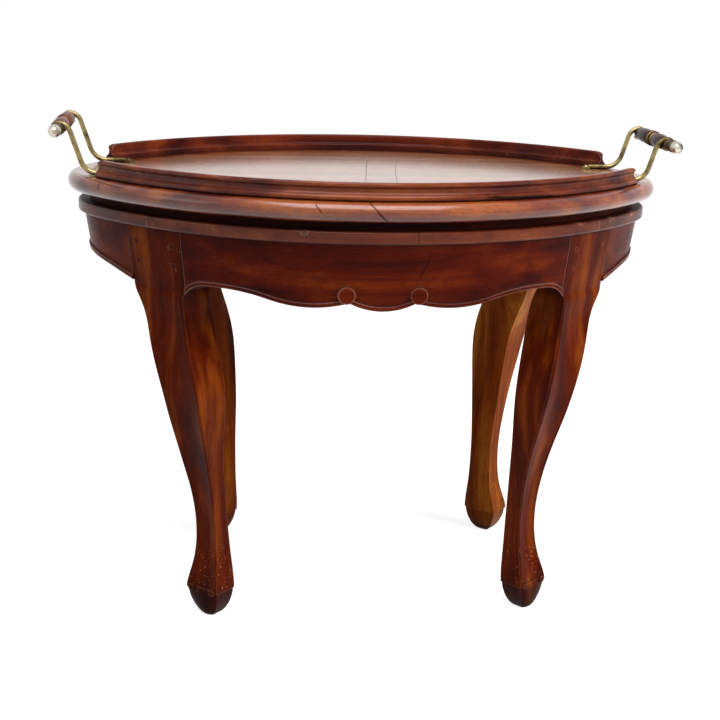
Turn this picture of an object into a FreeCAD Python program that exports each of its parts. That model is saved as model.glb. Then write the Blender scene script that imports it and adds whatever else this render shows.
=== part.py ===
import FreeCAD, Part
import math
import os
import Sketcher

# An oval tray table. The stand has four curved legs, four aprons and an oval rim. A loose tray with
# two brass bail handles lies on it. +Z is up, +X runs along the table, -Y is the front, and the
# origin is on the floor under the middle of the stand.

os.makedirs("parts", exist_ok=True)
doc = FreeCAD.newDocument("OvalTrayTable")

# Driving sizes: millimetres, and degrees for the angles
SIZES = {
    # Plan of the rim, an oval of four arcs
    "half_length": 341.0,
    "half_depth": 236.0,
    "end_radius": 120.0,
    # Rim on top of the aprons
    "stand_height": 482.0,
    "rim_thickness": 14.0,
    "rim_width": 34.0,
    "rim_rounding": 3.0,
    # Aprons
    "apron_setback": 7.0,
    "apron_thickness": 20.0,
    "apron_blank": 84.0,
    "apron_slope": 8.0,
    "low_share": 0.45,
    "low_depth": 73.0,
    "arch_flat": 12.0,
    "arch_depth": 58.5,
    "haunch_inset": 25.0,
    "haunch_radius": 28.0,
    "lobe_depth": 75.5,
    "lobe_spring_depth": 65.0,
    "boss_at": 39.5,
    "boss_depth": 58.0,
    "boss_radius": 9.5,
    "boss_rise": 3.0,
    "side_arch_depth": 43.5,
    "side_spring_depth": 65.0,
    "lip_width": 5.0,
    "lip_rise": 1.8,
    # Tenons, mortises and pegs
    "tenon_thickness": 8.0,
    "tenon_height": 36.0,
    "tenon_length": 22.0,
    "tenon_top_depth": 12.0,
    "joint_clearance": 0.5,
    "peg_radius": 3.0,
    "peg_length": 27.0,
    "peg_from_joint": 13.0,
    "peg_upper_depth": 19.0,
    "peg_lower_depth": 41.0,
    "peg_clearance": 0.05,
    # Legs
    "leg_share": 0.74,
    "stile_width": 80.0,
    "stile_depth": 48.0,
    "stile_drop": 71.0,
    "shaft_inset": 28.0,
    "shaft_lean": 43.4,
    "pad_share": 0.088,
    "toe_drop": 2.0,
    "toe_radius": 4.2,
    "toe_rise": 2.0,
    "toe_spread": 16.0,
    # The legs are shaped by hand: how far the knee and the foot of three of them stray along the table
    "front_left_knee_sway": -5.0,
    "front_left_foot_sway": 5.0,
    "back_left_knee_sway": 12.0,
    "back_left_foot_sway": 7.0,
    "back_right_knee_sway": -3.0,
    "back_right_foot_sway": -3.0,
    # Glue blocks
    "block_side": 16.0,
    "block_length": 46.0,
    "block_share": 0.31,
    "block_gap": 0.3,
    # Tray edge, floor and plinth
    "tray_overhang": 11.0,
    "edge_thickness": 21.5,
    "edge_width": 34.0,
    "floor_thickness": 8.0,
    "floor_setback": 24.0,
    "plinth_height": 10.0,
    "plinth_setback": 14.0,
    "plinth_width": 32.0,
    "locator_length": 40.0,
    "locator_width": 10.0,
    "locator_height": 12.0,
    "locator_play": 1.5,
    # Gallery
    "gallery_height": 20.0,
    "gallery_thickness": 12.0,
    "gallery_share": 0.985,
    "gallery_clearance": 1.8,
    "gallery_corner": 11.0,
    # Handles
    "rod_radius": 2.9,
    "arm_spacing": 122.0,
    "foot_inset": 55.0,
    "foot_pad_radius": 6.0,
    "foot_pad_thickness": 3.0,
    "bend_inset": 29.0,
    "bend_radius": 20.0,
    "right_arm_rise": 73.0,
    "left_arm_rise": 71.5,
    "crook_radius": 14.0,
    "curl_angle": 235.0,
    "right_spindle_overhang": 11.0,
    "right_spindle_above": 46.0,
    "left_spindle_overhang": 14.0,
    "left_spindle_above": 53.5,
    "spindle_radius": 2.5,
    "spindle_head_radius": 5.5,
    "spindle_head_thickness": 2.5,
    "grip_radius": 9.0,
    "grip_length": 98.0,
    "ferrule_length": 8.5,
    "ferrule_radius": 7.0,
    "running_clearance": 0.1,
    "end_play": 0.3,
    "finial_length": 42.0,
    "finial_radius": 7.2,
    "screw_radius": 1.7,
    "screw_length": 10.0,
    "screw_head_radius": 3.6,
    "screw_head_height": 2.2,
    # One overrun serves every cut
    "overrun": 5.0,
}


class Size:
    """A number together with the sheet formula that gives it."""

    def __init__(self, value, formula=None):
        self.value = float(value)
        self.formula = formula if formula is not None else repr(float(value))

    def __add__(self, other):
        other = as_size(other)
        return Size(self.value + other.value, f"({self.formula} + {other.formula})")

    def __sub__(self, other):
        other = as_size(other)
        return Size(self.value - other.value, f"({self.formula} - {other.formula})")

    def __mul__(self, other):
        other = as_size(other)
        return Size(self.value * other.value, f"({self.formula} * {other.formula})")

    def __truediv__(self, other):
        other = as_size(other)
        return Size(self.value / other.value, f"({self.formula} / {other.formula})")

    def __neg__(self):
        return Size(-self.value, f"(-1 * {self.formula})")

    def sin(self):
        return Size(math.sin(math.radians(self.value)), f"sin({self.formula})")

    def cos(self):
        return Size(math.cos(math.radians(self.value)), f"cos({self.formula})")

    def tan(self):
        return Size(math.tan(math.radians(self.value)), f"tan({self.formula})")

    def root(self):
        return Size(math.sqrt(self.value), f"sqrt({self.formula})")


def as_size(number):
    return number if isinstance(number, Size) else Size(number)


ZERO = Size(0.0, "0")

sheet = doc.addObject("Spreadsheet::Sheet", "Sizes")


def put_in_sheet(alias, value, row):
    sheet.set(f"A{row}", alias)
    sheet.set(f"B{row}", repr(value))
    sheet.setAlias(f"B{row}", alias)
    return Size(value, f"Sizes.{alias}")


size = {}
for row, (alias, value) in enumerate(SIZES.items(), start=1):
    size[alias] = put_in_sheet(alias, value, row)

# Sizes that follow from the driving ones: the long arcs' radius and centres, where the arcs meet,
# half the angle that a leg's stile takes up, and the places that are shares of half a long arc.
# A gallery stops short of the handles' feet, or where the long arc ends if that comes first
half_length, half_depth, end_radius = SIZES["half_length"], SIZES["half_depth"], SIZES["end_radius"]
long_radius = (half_length**2 - 2 * half_length * end_radius + half_depth**2) / (2 * (half_depth - end_radius))
meeting_angle = math.degrees(math.atan2(long_radius - half_depth, half_length - end_radius))
half_arc = 90 - meeting_angle
long_centre = long_radius - half_depth
handle_edge = SIZES["arm_spacing"] / 2 + SIZES["foot_pad_radius"] + SIZES["gallery_clearance"]
gallery_inner = long_radius - SIZES["gallery_thickness"]
clear_angle = math.degrees(math.acos((long_centre + handle_edge) / gallery_inner))
DERIVED = {
    "long_radius": long_radius,
    "long_centre": long_centre,
    "end_centre": half_length - end_radius,
    "meeting_angle": meeting_angle,
    "stile_half_angle": math.degrees(math.asin(SIZES["stile_width"] / 2 / long_radius)),
    "peg_angle": math.degrees(math.asin(SIZES["peg_from_joint"] / long_radius)),
    "leg_angle": half_arc * SIZES["leg_share"],
    "gallery_half_angle": min(clear_angle, half_arc * SIZES["gallery_share"]),
    "block_angle": half_arc * SIZES["block_share"],
}
for row, (alias, value) in enumerate(DERIVED.items(), start=len(SIZES) + 2):
    size[alias] = put_in_sheet(alias, value, row)
doc.recompute()

# Heights that several pieces share
apron_top = size["stand_height"] - size["rim_thickness"]
plinth_top = size["stand_height"] + size["plinth_height"]
tray_top = plinth_top + size["edge_thickness"]
stile_bottom = apron_top - size["stile_drop"]
pad_height = stile_bottom * size["pad_share"]
arm_at = size["arm_spacing"] / 2
foot_at = size["half_length"] - size["foot_inset"]
bend_at = size["half_length"] - size["bend_inset"]
spindle_at = {name: size["half_length"] + size[name + "_spindle_overhang"] for name in ("right", "left")}
spindle_height = {name: tray_top + size[name + "_spindle_above"] for name in ("right", "left")}
overrun = size["overrun"]

# The four arcs of the plan: centre x, centre y, radius of the rim's edge on that arc
ARCS = {
    "front": (ZERO, size["long_centre"], size["long_radius"]),
    "right": (size["end_centre"], ZERO, size["end_radius"]),
    "back": (ZERO, -size["long_centre"], size["long_radius"]),
    "left": (-size["end_centre"], ZERO, size["end_radius"]),
}
QUARTER = Size(90.0, "90")
HALF_TURN = Size(180.0, "180")
FULL_TURN = Size(360.0, "360")


# Bodies, planes and sketches
def new_body(label, turn=ZERO, x=ZERO, y=ZERO, z=ZERO):
    """A body turned about the vertical through its own origin, then moved."""
    body = doc.addObject("PartDesign::Body", "Body_" + label)
    body.Label = label
    body.setExpression(
        "Placement",
        f"placement(vector({x.formula}; {y.formula}; {z.formula}); "
        f"rotation(vector(0; 0; 1); {turn.formula}))",
    )
    return body


def base_plane(body, role):
    return next(item for item in body.Origin.OriginFeatures if item.Role == role)


def attach(body, name, role, along, axis_text, turn):
    sketch = body.newObject("Sketcher::SketchObject", name)
    sketch.AttachmentSupport = [(base_plane(body, role), "")]
    sketch.MapMode = "FlatFace"
    sketch.setExpression(
        "AttachmentOffset",
        f"placement(vector({along[0].formula}; {along[1].formula}; {along[2].formula}); "
        f"rotation(vector({axis_text}); {turn.formula}))",
    )
    return sketch


def level_sketch(body, name, height, x=ZERO, y=ZERO, turn=ZERO):
    """A horizontal sketch with its origin at x, y and the given height."""
    return attach(body, name, "XY_Plane", (x, y, height), "0; 0; 1", turn)


def radial_sketch(body, name, bearing, x=ZERO, y=ZERO):
    """A vertical sketch through the axis at x, y: across is the radius, up is the height."""
    return attach(body, name, "XZ_Plane", (x, ZERO, -y), "0; 1; 0", bearing)


def facing_sketch(body, name, bearing=ZERO, distance=ZERO, x=ZERO, y=ZERO, height=ZERO):
    """A vertical sketch square to the bearing, at that distance from the axis at x, y."""
    along = (y + distance * bearing.sin(), height, x + distance * bearing.cos())
    return attach(body, name, "YZ_Plane", along, "0; 1; 0", bearing)


def pin(sketch, geometry, position, point):
    """Hold one point of the geometry at the two sizes of the point."""
    for kind, where in (("DistanceX", point[0]), ("DistanceY", point[1])):
        number = sketch.addConstraint(Sketcher.Constraint(kind, -1, 1, geometry, position, where.value))
        sketch.setExpression(f"Constraints[{number}]", where.formula)


def on_circle(x, y, radius, bearing):
    return (x + radius * bearing.cos(), y + radius * bearing.sin())


def vector(point):
    return FreeCAD.Vector(point[0].value, point[1].value, 0)


def add_arc(sketch, start, middle, end):
    """An arc through three points, pinned at its ends and held on the middle one."""
    chord = vector(end) - vector(start)
    bow = vector(middle) - vector(start)
    if bow.cross(chord).z < 0:
        start, end = end, start
    sketch.addGeometry(Part.Arc(vector(start), vector(middle), vector(end)), False)
    number = len(sketch.Geometry) - 1
    pin(sketch, number, 1, start)
    pin(sketch, number, 2, end)
    sketch.addGeometry(Part.Point(vector(middle)), True)
    pin(sketch, number + 1, 1, middle)
    sketch.addConstraint(Sketcher.Constraint("PointOnObject", number + 1, 1, number))


def add_line(sketch, start, end):
    sketch.addGeometry(Part.LineSegment(vector(start), vector(end)), False)
    number = len(sketch.Geometry) - 1
    pin(sketch, number, 1, start)
    pin(sketch, number, 2, end)


def draw(sketch, points, through=None, closed=True):
    """Join the points by lines, or by an arc where through gives that stretch a point on the way."""
    through = through or {}
    count = len(points) if closed else len(points) - 1
    for index in range(count):
        start = points[index]
        end = points[(index + 1) % len(points)]
        if index in through:
            add_arc(sketch, start, through[index], end)
        else:
            add_line(sketch, start, end)
    return sketch


def draw_circle(sketch, centre, radius):
    sketch.addGeometry(Part.Circle(vector(centre), FreeCAD.Vector(0, 0, 1), radius.value), False)
    number = len(sketch.Geometry) - 1
    held = sketch.addConstraint(Sketcher.Constraint("Radius", number, radius.value))
    sketch.setExpression(f"Constraints[{held}]", radius.formula)
    pin(sketch, number, 3, centre)
    return sketch


def draw_oval(sketch, offset):
    """The plan oval, moved outward by the offset, as four arcs."""
    long_arm = size["long_radius"] + offset
    end_arm = size["end_radius"] + offset
    across = size["end_centre"] + end_arm * size["meeting_angle"].cos()
    along = end_arm * size["meeting_angle"].sin()
    reach = size["end_centre"] + end_arm
    depth = long_arm - size["long_centre"]
    corners = [(-across, -along), (across, -along), (across, along), (-across, along)]
    middles = {0: (ZERO, -depth), 1: (reach, ZERO), 2: (ZERO, depth), 3: (-reach, ZERO)}
    return draw(sketch, corners, middles)


# Features
def pad(body, sketch, length, reversed_way=False):
    feature = body.newObject("PartDesign::Pad", sketch.Name + "_pad")
    feature.Profile = sketch
    feature.setExpression("Length", length.formula)
    feature.Reversed = reversed_way
    return feature


def pocket(body, sketch, length, reversed_way=False):
    feature = body.newObject("PartDesign::Pocket", sketch.Name + "_pocket")
    feature.Profile = sketch
    feature.setExpression("Length", length.formula)
    feature.Reversed = reversed_way
    return feature


def revolve(body, sketch, span, axis="V_Axis"):
    feature = body.newObject("PartDesign::Revolution", sketch.Name + "_turned")
    feature.Profile = sketch
    feature.ReferenceAxis = (sketch, [axis])
    feature.setExpression("Angle", span.formula)
    return feature


def loft(body, sections, name):
    feature = body.newObject("PartDesign::AdditiveLoft", name)
    feature.Profile = sections[0]
    feature.Sections = [(section, "") for section in sections[1:]]
    feature.Ruled = False
    return feature


def sweep_plan(body, stretches, profile):
    """Turn a profile about the centres of the plan's arcs, one stretch after another."""
    for arc, start, end in stretches:
        x, y, radius = ARCS[arc]
        sketch = radial_sketch(body, f"{body.Label}_{arc}_profile", start, x, y)
        points, through = profile(radius)
        draw(sketch, points, through)
        revolve(body, sketch, end - start)


def long_stretch(half_angle):
    """The front arc, over the half angle on each side of the middle."""
    return [("front", -QUARTER - half_angle, -QUARTER + half_angle)]


def side_stretches(half_angle):
    """From the front arc round the right end to the back arc."""
    return [
        ("front", -QUARTER + half_angle, -size["meeting_angle"]),
        ("right", -size["meeting_angle"], size["meeting_angle"]),
        ("back", size["meeting_angle"], QUARTER - half_angle),
    ]


# Profiles: each gives the outline at an arc of the given radius
def rim_profile(radius):
    outer = radius
    inner = radius - size["rim_width"]
    top = size["stand_height"]
    bottom = apron_top
    rounding = size["rim_rounding"]
    corner = rounding * (1 - math.sqrt(0.5))
    points = [
        (inner, bottom),
        (outer - rounding, bottom),
        (outer, bottom + rounding),
        (outer, top - rounding),
        (outer - rounding, top),
        (inner, top),
    ]
    through = {
        1: (outer - corner, bottom + corner),
        3: (outer - corner, top - corner),
    }
    return points, through


def apron_face(radius, depth):
    """Radius of the aprons' sloping outer face at a depth below their top."""
    return radius - size["apron_setback"] - depth * size["apron_slope"].tan()


def apron_profile(radius):
    depth = size["apron_blank"]
    points = [
        (apron_face(radius, ZERO), apron_top),
        (apron_face(radius, ZERO) - size["apron_thickness"], apron_top),
        (apron_face(radius, depth) - size["apron_thickness"], apron_top - depth),
        (apron_face(radius, depth), apron_top - depth),
    ]
    return points, {}


def lip_profile(radius):
    """A thin skin on the face of the apron, from which the raised lip is cut."""
    depth = size["apron_blank"]
    root = size["apron_thickness"] / 4
    points = [
        (apron_face(radius, ZERO) + size["lip_rise"], apron_top),
        (apron_face(radius, ZERO) - root, apron_top),
        (apron_face(radius, depth) - root, apron_top - depth),
        (apron_face(radius, depth) + size["lip_rise"], apron_top - depth),
    ]
    return points, {}


def stile_profile(radius):
    inner = radius - size["apron_setback"] - size["stile_depth"]
    points = [
        (apron_face(radius, ZERO), apron_top),
        (inner, apron_top),
        (inner, stile_bottom),
        (apron_face(radius, size["stile_drop"]), stile_bottom),
    ]
    return points, {}


def edge_profile(radius):
    nose = radius + size["tray_overhang"]
    flat = nose - size["edge_thickness"] / 2
    inner = radius - size["edge_width"]
    rebate = radius - size["floor_setback"]
    ledge = tray_top - size["floor_thickness"]
    points = [
        (inner, plinth_top),
        (flat, plinth_top),
        (flat, tray_top),
        (rebate, tray_top),
        (rebate, ledge),
        (inner, ledge),
    ]
    return points, {1: (nose, plinth_top + size["edge_thickness"] / 2)}


# The gallery's moulding as shares of its thickness (across, from the inner face) and its height
GALLERY_SHARES = [
    (0.0, 0.0),
    (0.88, 0.0),
    (0.84, 0.34),
    (0.74, 0.38),
    (0.76, 0.76),
    (0.68, 1.0),
    (0.42, 1.0),
    (0.26, 0.88),
    (0.26, 0.50),
    (0.0, 0.38),
]
GALLERY_MIDDLE_SHARES = {1: (1.0, 0.17), 3: (0.60, 0.57), 4: (0.86, 0.89), 6: (0.31, 0.965), 8: (0.19, 0.42)}


def gallery_profile(radius):
    inner = radius - size["gallery_thickness"]

    def place(shares):
        across = inner + size["gallery_thickness"] * shares[0]
        return (across, tray_top + size["gallery_height"] * shares[1])

    points = [place(shares) for shares in GALLERY_SHARES]
    through = {index: place(shares) for index, shares in GALLERY_MIDDLE_SHARES.items()}
    return points, through


# Rim
def make_rim(label, stretches, turn):
    body = new_body(label, turn)
    sweep_plan(body, stretches, rim_profile)
    return body


# Aprons
def scallop_places():
    """Distances from the middle, counted inward from where the front apron meets its leg."""
    face = apron_face(size["long_radius"], size["arch_depth"])
    leg_edge = face * (size["leg_angle"] - size["stile_half_angle"]).sin()
    haunch_at = leg_edge - size["haunch_inset"]
    arch_at = haunch_at - size["arch_flat"]
    return haunch_at, arch_at, arch_at * size["low_share"]


def scallop_points(lift):
    """The front apron's lower edge from the middle to the right, raised by the lift."""
    sag = size["lobe_depth"] - size["lobe_spring_depth"]
    lobe = (size["boss_at"] * size["boss_at"] + sag * sag) / (sag * 2)
    lobe_inside = (lobe - lift) / lobe
    haunch_at, arch_at, low_at = scallop_places()
    run = arch_at - low_at
    climb = size["low_depth"] - size["arch_depth"]
    both = (run * run + climb * climb) / (climb * 2)
    valley_share = 0.45
    valley = both * valley_share
    crest = both - valley
    low = apron_top - size["low_depth"]
    arch = apron_top - size["arch_depth"]
    lobe_low = apron_top - size["lobe_depth"]

    # The turning point between valley and crest lies on the line that joins their centres
    turn_x = low_at + run * valley_share
    turn_y = low + climb * valley_share
    slope_sin = run / both
    slope_cos = (both - climb) / both
    spring_x = size["boss_at"] * lobe_inside
    spring_y = lobe_low + lobe - (lobe - sag) * lobe_inside
    boss_side = size["boss_at"]
    reach = low_at - boss_side
    valley_inner = valley - lift
    valley_side_y = low + valley - (valley_inner * valley_inner - reach * reach).root()
    haunch = size["haunch_radius"] + lift
    end_x = haunch_at + size["haunch_radius"] * 0.95
    end_drop = (haunch * haunch - (end_x - haunch_at) * (end_x - haunch_at)).root()
    haunch_centre = arch - size["haunch_radius"]
    points = [
        (ZERO, lobe_low + lift),
        (spring_x, spring_y),
        (boss_side, valley_side_y),
        (turn_x - lift * slope_sin, turn_y + lift * slope_cos),
        (arch_at, arch + lift),
        (haunch_at, arch + lift),
        (end_x, haunch_centre + end_drop),
    ]
    lobe_half = spring_x / 2
    mid_drop = ((lobe - lift) * (lobe - lift) - lobe_half * lobe_half).root()
    valley_x = low_at
    valley_y = low + lift
    crest_x = (points[3][0] + points[4][0]) / 2
    crest_arm = crest + lift
    crest_off = arch_at - crest_x
    crest_y = arch - crest + (crest_arm * crest_arm - crest_off * crest_off).root()
    haunch_x = (haunch_at + end_x) / 2
    haunch_off = haunch_x - haunch_at
    haunch_y = haunch_centre + (haunch * haunch - haunch_off * haunch_off).root()
    through = {
        0: (lobe_half, lobe_low + lobe - mid_drop),
        2: (valley_x, valley_y),
        3: (crest_x, crest_y),
        5: (haunch_x, haunch_y),
    }
    return points, through


def mirrored_outline(points, through, level):
    """Close a half outline through its mirror image and along a level line."""
    wide = points[-1][0] * 2
    outline = list(points) + [(wide, points[-1][1]), (wide, level), (-wide, level), (-wide, points[-1][1])]
    outline += [(-x, y) for x, y in reversed(points[1:])]
    arcs = dict(through)
    total = len(outline)
    for index, (x, y) in through.items():
        arcs[total - 1 - index] = (-x, y)
    return outline, arcs


def tenon_outline(radius):
    middle_depth = size["tenon_top_depth"] + size["tenon_height"] / 2
    middle = apron_face(radius, middle_depth) - size["apron_thickness"] / 2
    half = size["tenon_thickness"] / 2
    top = apron_top - size["tenon_top_depth"]
    bottom = top - size["tenon_height"]
    return middle, half, top, bottom


def tenon_points(radius, play=ZERO):
    middle, half, top, bottom = tenon_outline(radius)
    return [
        (middle - half - play, bottom - play),
        (middle + half + play, bottom - play),
        (middle + half + play, top + play),
        (middle - half - play, top + play),
    ]


def add_tenon(body, name, arc, bearing, forward):
    x, y, radius = ARCS[arc]
    sketch = radial_sketch(body, name, bearing, x, y)
    draw(sketch, tenon_points(radius))
    return pad(body, sketch, size["tenon_length"] - size["joint_clearance"], reversed_way=forward)


def drill_pegs(body, name, x, y, bearing, radius):
    """Two peg holes, one above the other, bored towards the axis at x, y."""
    sketch = facing_sketch(body, name, bearing, radius, x, y)
    for depth in (size["peg_upper_depth"], size["peg_lower_depth"]):
        draw_circle(sketch, (ZERO, apron_top - depth), size["peg_radius"] + size["peg_clearance"])
    return pocket(body, sketch, radius - apron_face(radius, size["stile_drop"]) + size["peg_length"])


def make_long_apron(label, turn):
    """Front or back apron: board with scalloped edge, tenons, bosses and the raised lip."""
    board = new_body(label + "_board", turn)
    end = size["leg_angle"] - size["stile_half_angle"]
    sweep_plan(board, long_stretch(end), apron_profile)
    # The scallop is cut square to the front, so its sketch faces along -Y
    sketch = facing_sketch(board, label + "_scallop", -QUARTER)
    points, through = scallop_points(ZERO)
    outline, arcs = mirrored_outline(points, through, apron_top - size["apron_blank"] - overrun)
    draw(sketch, outline, arcs)
    pocket(board, sketch, size["half_depth"] + overrun, reversed_way=True)
    for side, forward in ((-1, False), (1, True)):
        bearing = -QUARTER + end * side
        add_tenon(board, f"{label}_tenon_{forward}", "front", bearing, forward)
        peg_bearing = -QUARTER + (end + size["peg_angle"]) * side
        x, y, radius = ARCS["front"]
        drill_pegs(board, f"{label}_peg_{forward}", x, y, peg_bearing, radius)
    face_radius = apron_face(size["long_radius"], size["boss_depth"])
    face = (face_radius * face_radius - size["boss_at"] * size["boss_at"]).root() - size["long_centre"]
    bosses = facing_sketch(board, label + "_bosses", -QUARTER, face - size["apron_thickness"] / 2)
    for side in (-1, 1):
        draw_circle(bosses, (size["boss_at"] * side, apron_top - size["boss_depth"]), size["boss_radius"])
    pad(board, bosses, size["apron_thickness"] / 2 + size["boss_rise"])

    lip = new_body(label + "_lip", turn)
    sweep_plan(lip, long_stretch(end), lip_profile)
    below = facing_sketch(lip, label + "_lip_below", -QUARTER)
    draw(below, outline, arcs)
    pocket(lip, below, size["half_depth"] + overrun, reversed_way=True)
    above = facing_sketch(lip, label + "_lip_above", -QUARTER)
    points, through = scallop_points(size["lip_width"])
    outline, arcs = mirrored_outline(points, through, apron_top + overrun)
    draw(above, outline, arcs)
    pocket(lip, above, size["half_depth"] + overrun, reversed_way=True)
    return join(label, [board, lip])


def side_edge(lift):
    """The side apron's lower edge: one arc between the two leg joints."""
    joint_bearing = size["leg_angle"] + size["stile_half_angle"]
    face = apron_face(size["long_radius"], size["side_spring_depth"])
    half_span = face * joint_bearing.cos() - size["long_centre"]
    rise = size["side_spring_depth"] - size["side_arch_depth"]
    radius = (half_span * half_span + rise * rise) / (rise * 2)
    crown = apron_top - size["side_arch_depth"]
    wide = half_span + size["haunch_radius"]
    drop = ((radius + lift) * (radius + lift) - wide * wide).root()
    return wide, crown - radius + drop, crown + lift


def cut_side_edge(body, name, lift, level):
    wide, spring, crown = side_edge(lift)
    sketch = facing_sketch(body, name)
    points = [(-wide, spring), (wide, spring), (wide, level), (-wide, level)]
    draw(sketch, points, {0: (ZERO, crown)})
    pocket(body, sketch, size["half_length"] + overrun, reversed_way=True)


def make_side_apron(label, turn):
    """Right or left apron: one board bent round the end, with tenons, plain arch and lip."""
    board = new_body(label + "_board", turn)
    end = size["leg_angle"] + size["stile_half_angle"]
    sweep_plan(board, side_stretches(end), apron_profile)
    cut_side_edge(board, label + "_arch", ZERO, apron_top - size["apron_blank"] - overrun)
    for arc, side, forward in (("front", -1, False), ("back", 1, True)):
        bearing = (QUARTER - end) * side
        add_tenon(board, f"{label}_tenon_{arc}", arc, bearing, forward)
        x, y, radius = ARCS[arc]
        peg_bearing = (QUARTER - end + size["peg_angle"]) * side
        drill_pegs(board, f"{label}_peg_{arc}", x, y, peg_bearing, radius)
    lip = new_body(label + "_lip", turn)
    sweep_plan(lip, side_stretches(end), lip_profile)
    cut_side_edge(lip, label + "_lip_below", ZERO, apron_top - size["apron_blank"] - overrun)
    cut_side_edge(lip, label + "_lip_above", size["lip_width"], apron_top + overrun)
    return join(label, [board, lip])


def join(label, parts):
    fused = doc.addObject("Part::MultiFuse", "Joined_" + label)
    fused.Shapes = parts
    fused.Label = label
    return fused


# Legs: rows of shares from the stile down. Height of the stile's bottom, inset and lean of the
# section's middle, its width and depth as shares of the stile's, then the hollow of the outer
# face and the rise of the beads along its edges as shares of the width
SHAFT_SHARES = [
    (0.985, 0.040, 0.060, 0.880, 0.880, 0.004, 0.003),
    (0.945, 0.140, 0.170, 0.785, 0.960, -0.012, 0.014),
    (0.854, 0.090, 0.430, 0.738, 0.990, -0.034, 0.030),
    (0.776, -0.080, 0.740, 0.725, 0.975, -0.042, 0.032),
    (0.698, -0.080, 0.930, 0.685, 0.905, -0.045, 0.032),
    (0.622, 0.080, 0.960, 0.635, 0.780, -0.050, 0.032),
    (0.547, 0.310, 0.940, 0.562, 0.640, -0.050, 0.032),
    (0.471, 0.555, 0.905, 0.496, 0.525, -0.050, 0.032),
    (0.398, 0.740, 0.886, 0.435, 0.460, -0.050, 0.032),
    (0.322, 0.865, 0.872, 0.392, 0.436, -0.050, 0.032),
    (0.257, 0.905, 0.864, 0.394, 0.446, -0.050, 0.032),
    (0.202, 0.860, 0.868, 0.422, 0.490, -0.048, 0.032),
    (0.150, 0.755, 0.870, 0.490, 0.570, -0.045, 0.030),
    (0.110, 0.640, 0.862, 0.565, 0.635, -0.040, 0.028),
    (0.081, 0.575, 0.855, 0.600, 0.655, -0.035, 0.026),
]
BEAD_SHARE = 0.12
# The pad's rows stop at the hollow, because its outer face is plain
PAD_SHARES = [
    (1.00, 0.600, 0.860, 0.560, 0.590, 0.05),
    (0.76, 0.570, 0.862, 0.555, 0.585, 0.07),
    (0.50, 0.545, 0.868, 0.495, 0.540, 0.10),
    (0.27, 0.525, 0.875, 0.405, 0.460, 0.14),
    (0.10, 0.510, 0.880, 0.300, 0.355, 0.18),
    (0.00, 0.505, 0.880, 0.200, 0.260, 0.20),
]


def section_outline(width, depth, hollow, bead=None):
    """Outer face round or hollow, with a bead along each edge if asked, and plain other sides."""
    half = width / 2
    back = depth / 2
    inner = (-back - depth * 0.08, ZERO)
    middle = (back + width * hollow, ZERO)
    if bead is None:
        points = [(back, -half), (back, half), (-back, half), (-back, -half)]
        return points, {0: middle, 2: inner}
    edge = width * BEAD_SHARE
    crest = back + width * bead
    points = [
        (back, -half),
        (back, edge - half),
        (back, half - edge),
        (back, half),
        (-back, half),
        (-back, -half),
    ]
    through = {
        0: (crest, edge / 2 - half),
        1: middle,
        2: (crest, half - edge / 2),
        4: inner,
    }
    return points, through


def leg_middle():
    """Radius of the stile's middle at its bottom end."""
    face = apron_face(size["long_radius"], size["stile_drop"])
    inner = size["long_radius"] - size["apron_setback"] - size["stile_depth"]
    return (face + inner) / 2


def stray(high, sway):
    """How far along X a section at this height strays, most at the knee and none at the stile."""
    knee, foot = sway
    share = high / stile_bottom
    if share.value > 0.5:
        return knee * (as_size(1) - share) * 2
    return knee * share * 2 + foot * (as_size(1) - share * 2)


def leg_sections(body, rows, height, bearing, hand, sway, name):
    """One sketch for each row, in the leg's own frame with the stile's axis outward along X."""
    sections = []
    for index, (high, inset, lean, width, depth, *face) in enumerate(rows):
        strayed = stray(height * high, sway)
        out = leg_middle() - size["shaft_inset"] * inset + strayed * bearing.cos()
        aside = size["shaft_lean"] * lean * (-hand) - strayed * bearing.sin()
        sketch = level_sketch(body, f"{name}_{index}", height * high, out, aside)
        points, through = section_outline(size["stile_width"] * width, size["stile_depth"] * depth, *face)
        draw(sketch, points, through)
        sections.append(sketch)
    return sections


def stile_section(body, name):
    """The bottom of the stile, where the curved shaft starts."""
    face = apron_face(size["long_radius"], size["stile_drop"])
    inner = size["long_radius"] - size["apron_setback"] - size["stile_depth"]
    half = size["stile_half_angle"]
    flat = half * (1 - 2 * BEAD_SHARE)
    bead = (half + flat) / 2
    sketch = level_sketch(body, name, stile_bottom)
    points = [
        on_circle(ZERO, ZERO, face, -half),
        on_circle(ZERO, ZERO, face, -flat),
        on_circle(ZERO, ZERO, face, flat),
        on_circle(ZERO, ZERO, face, half),
        on_circle(ZERO, ZERO, inner, half),
        on_circle(ZERO, ZERO, inner, -half),
    ]
    through = {
        0: on_circle(ZERO, ZERO, face, -bead),
        1: (face, ZERO),
        2: on_circle(ZERO, ZERO, face, bead),
        4: (inner, ZERO),
    }
    draw(sketch, points, through)
    return sketch


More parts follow.
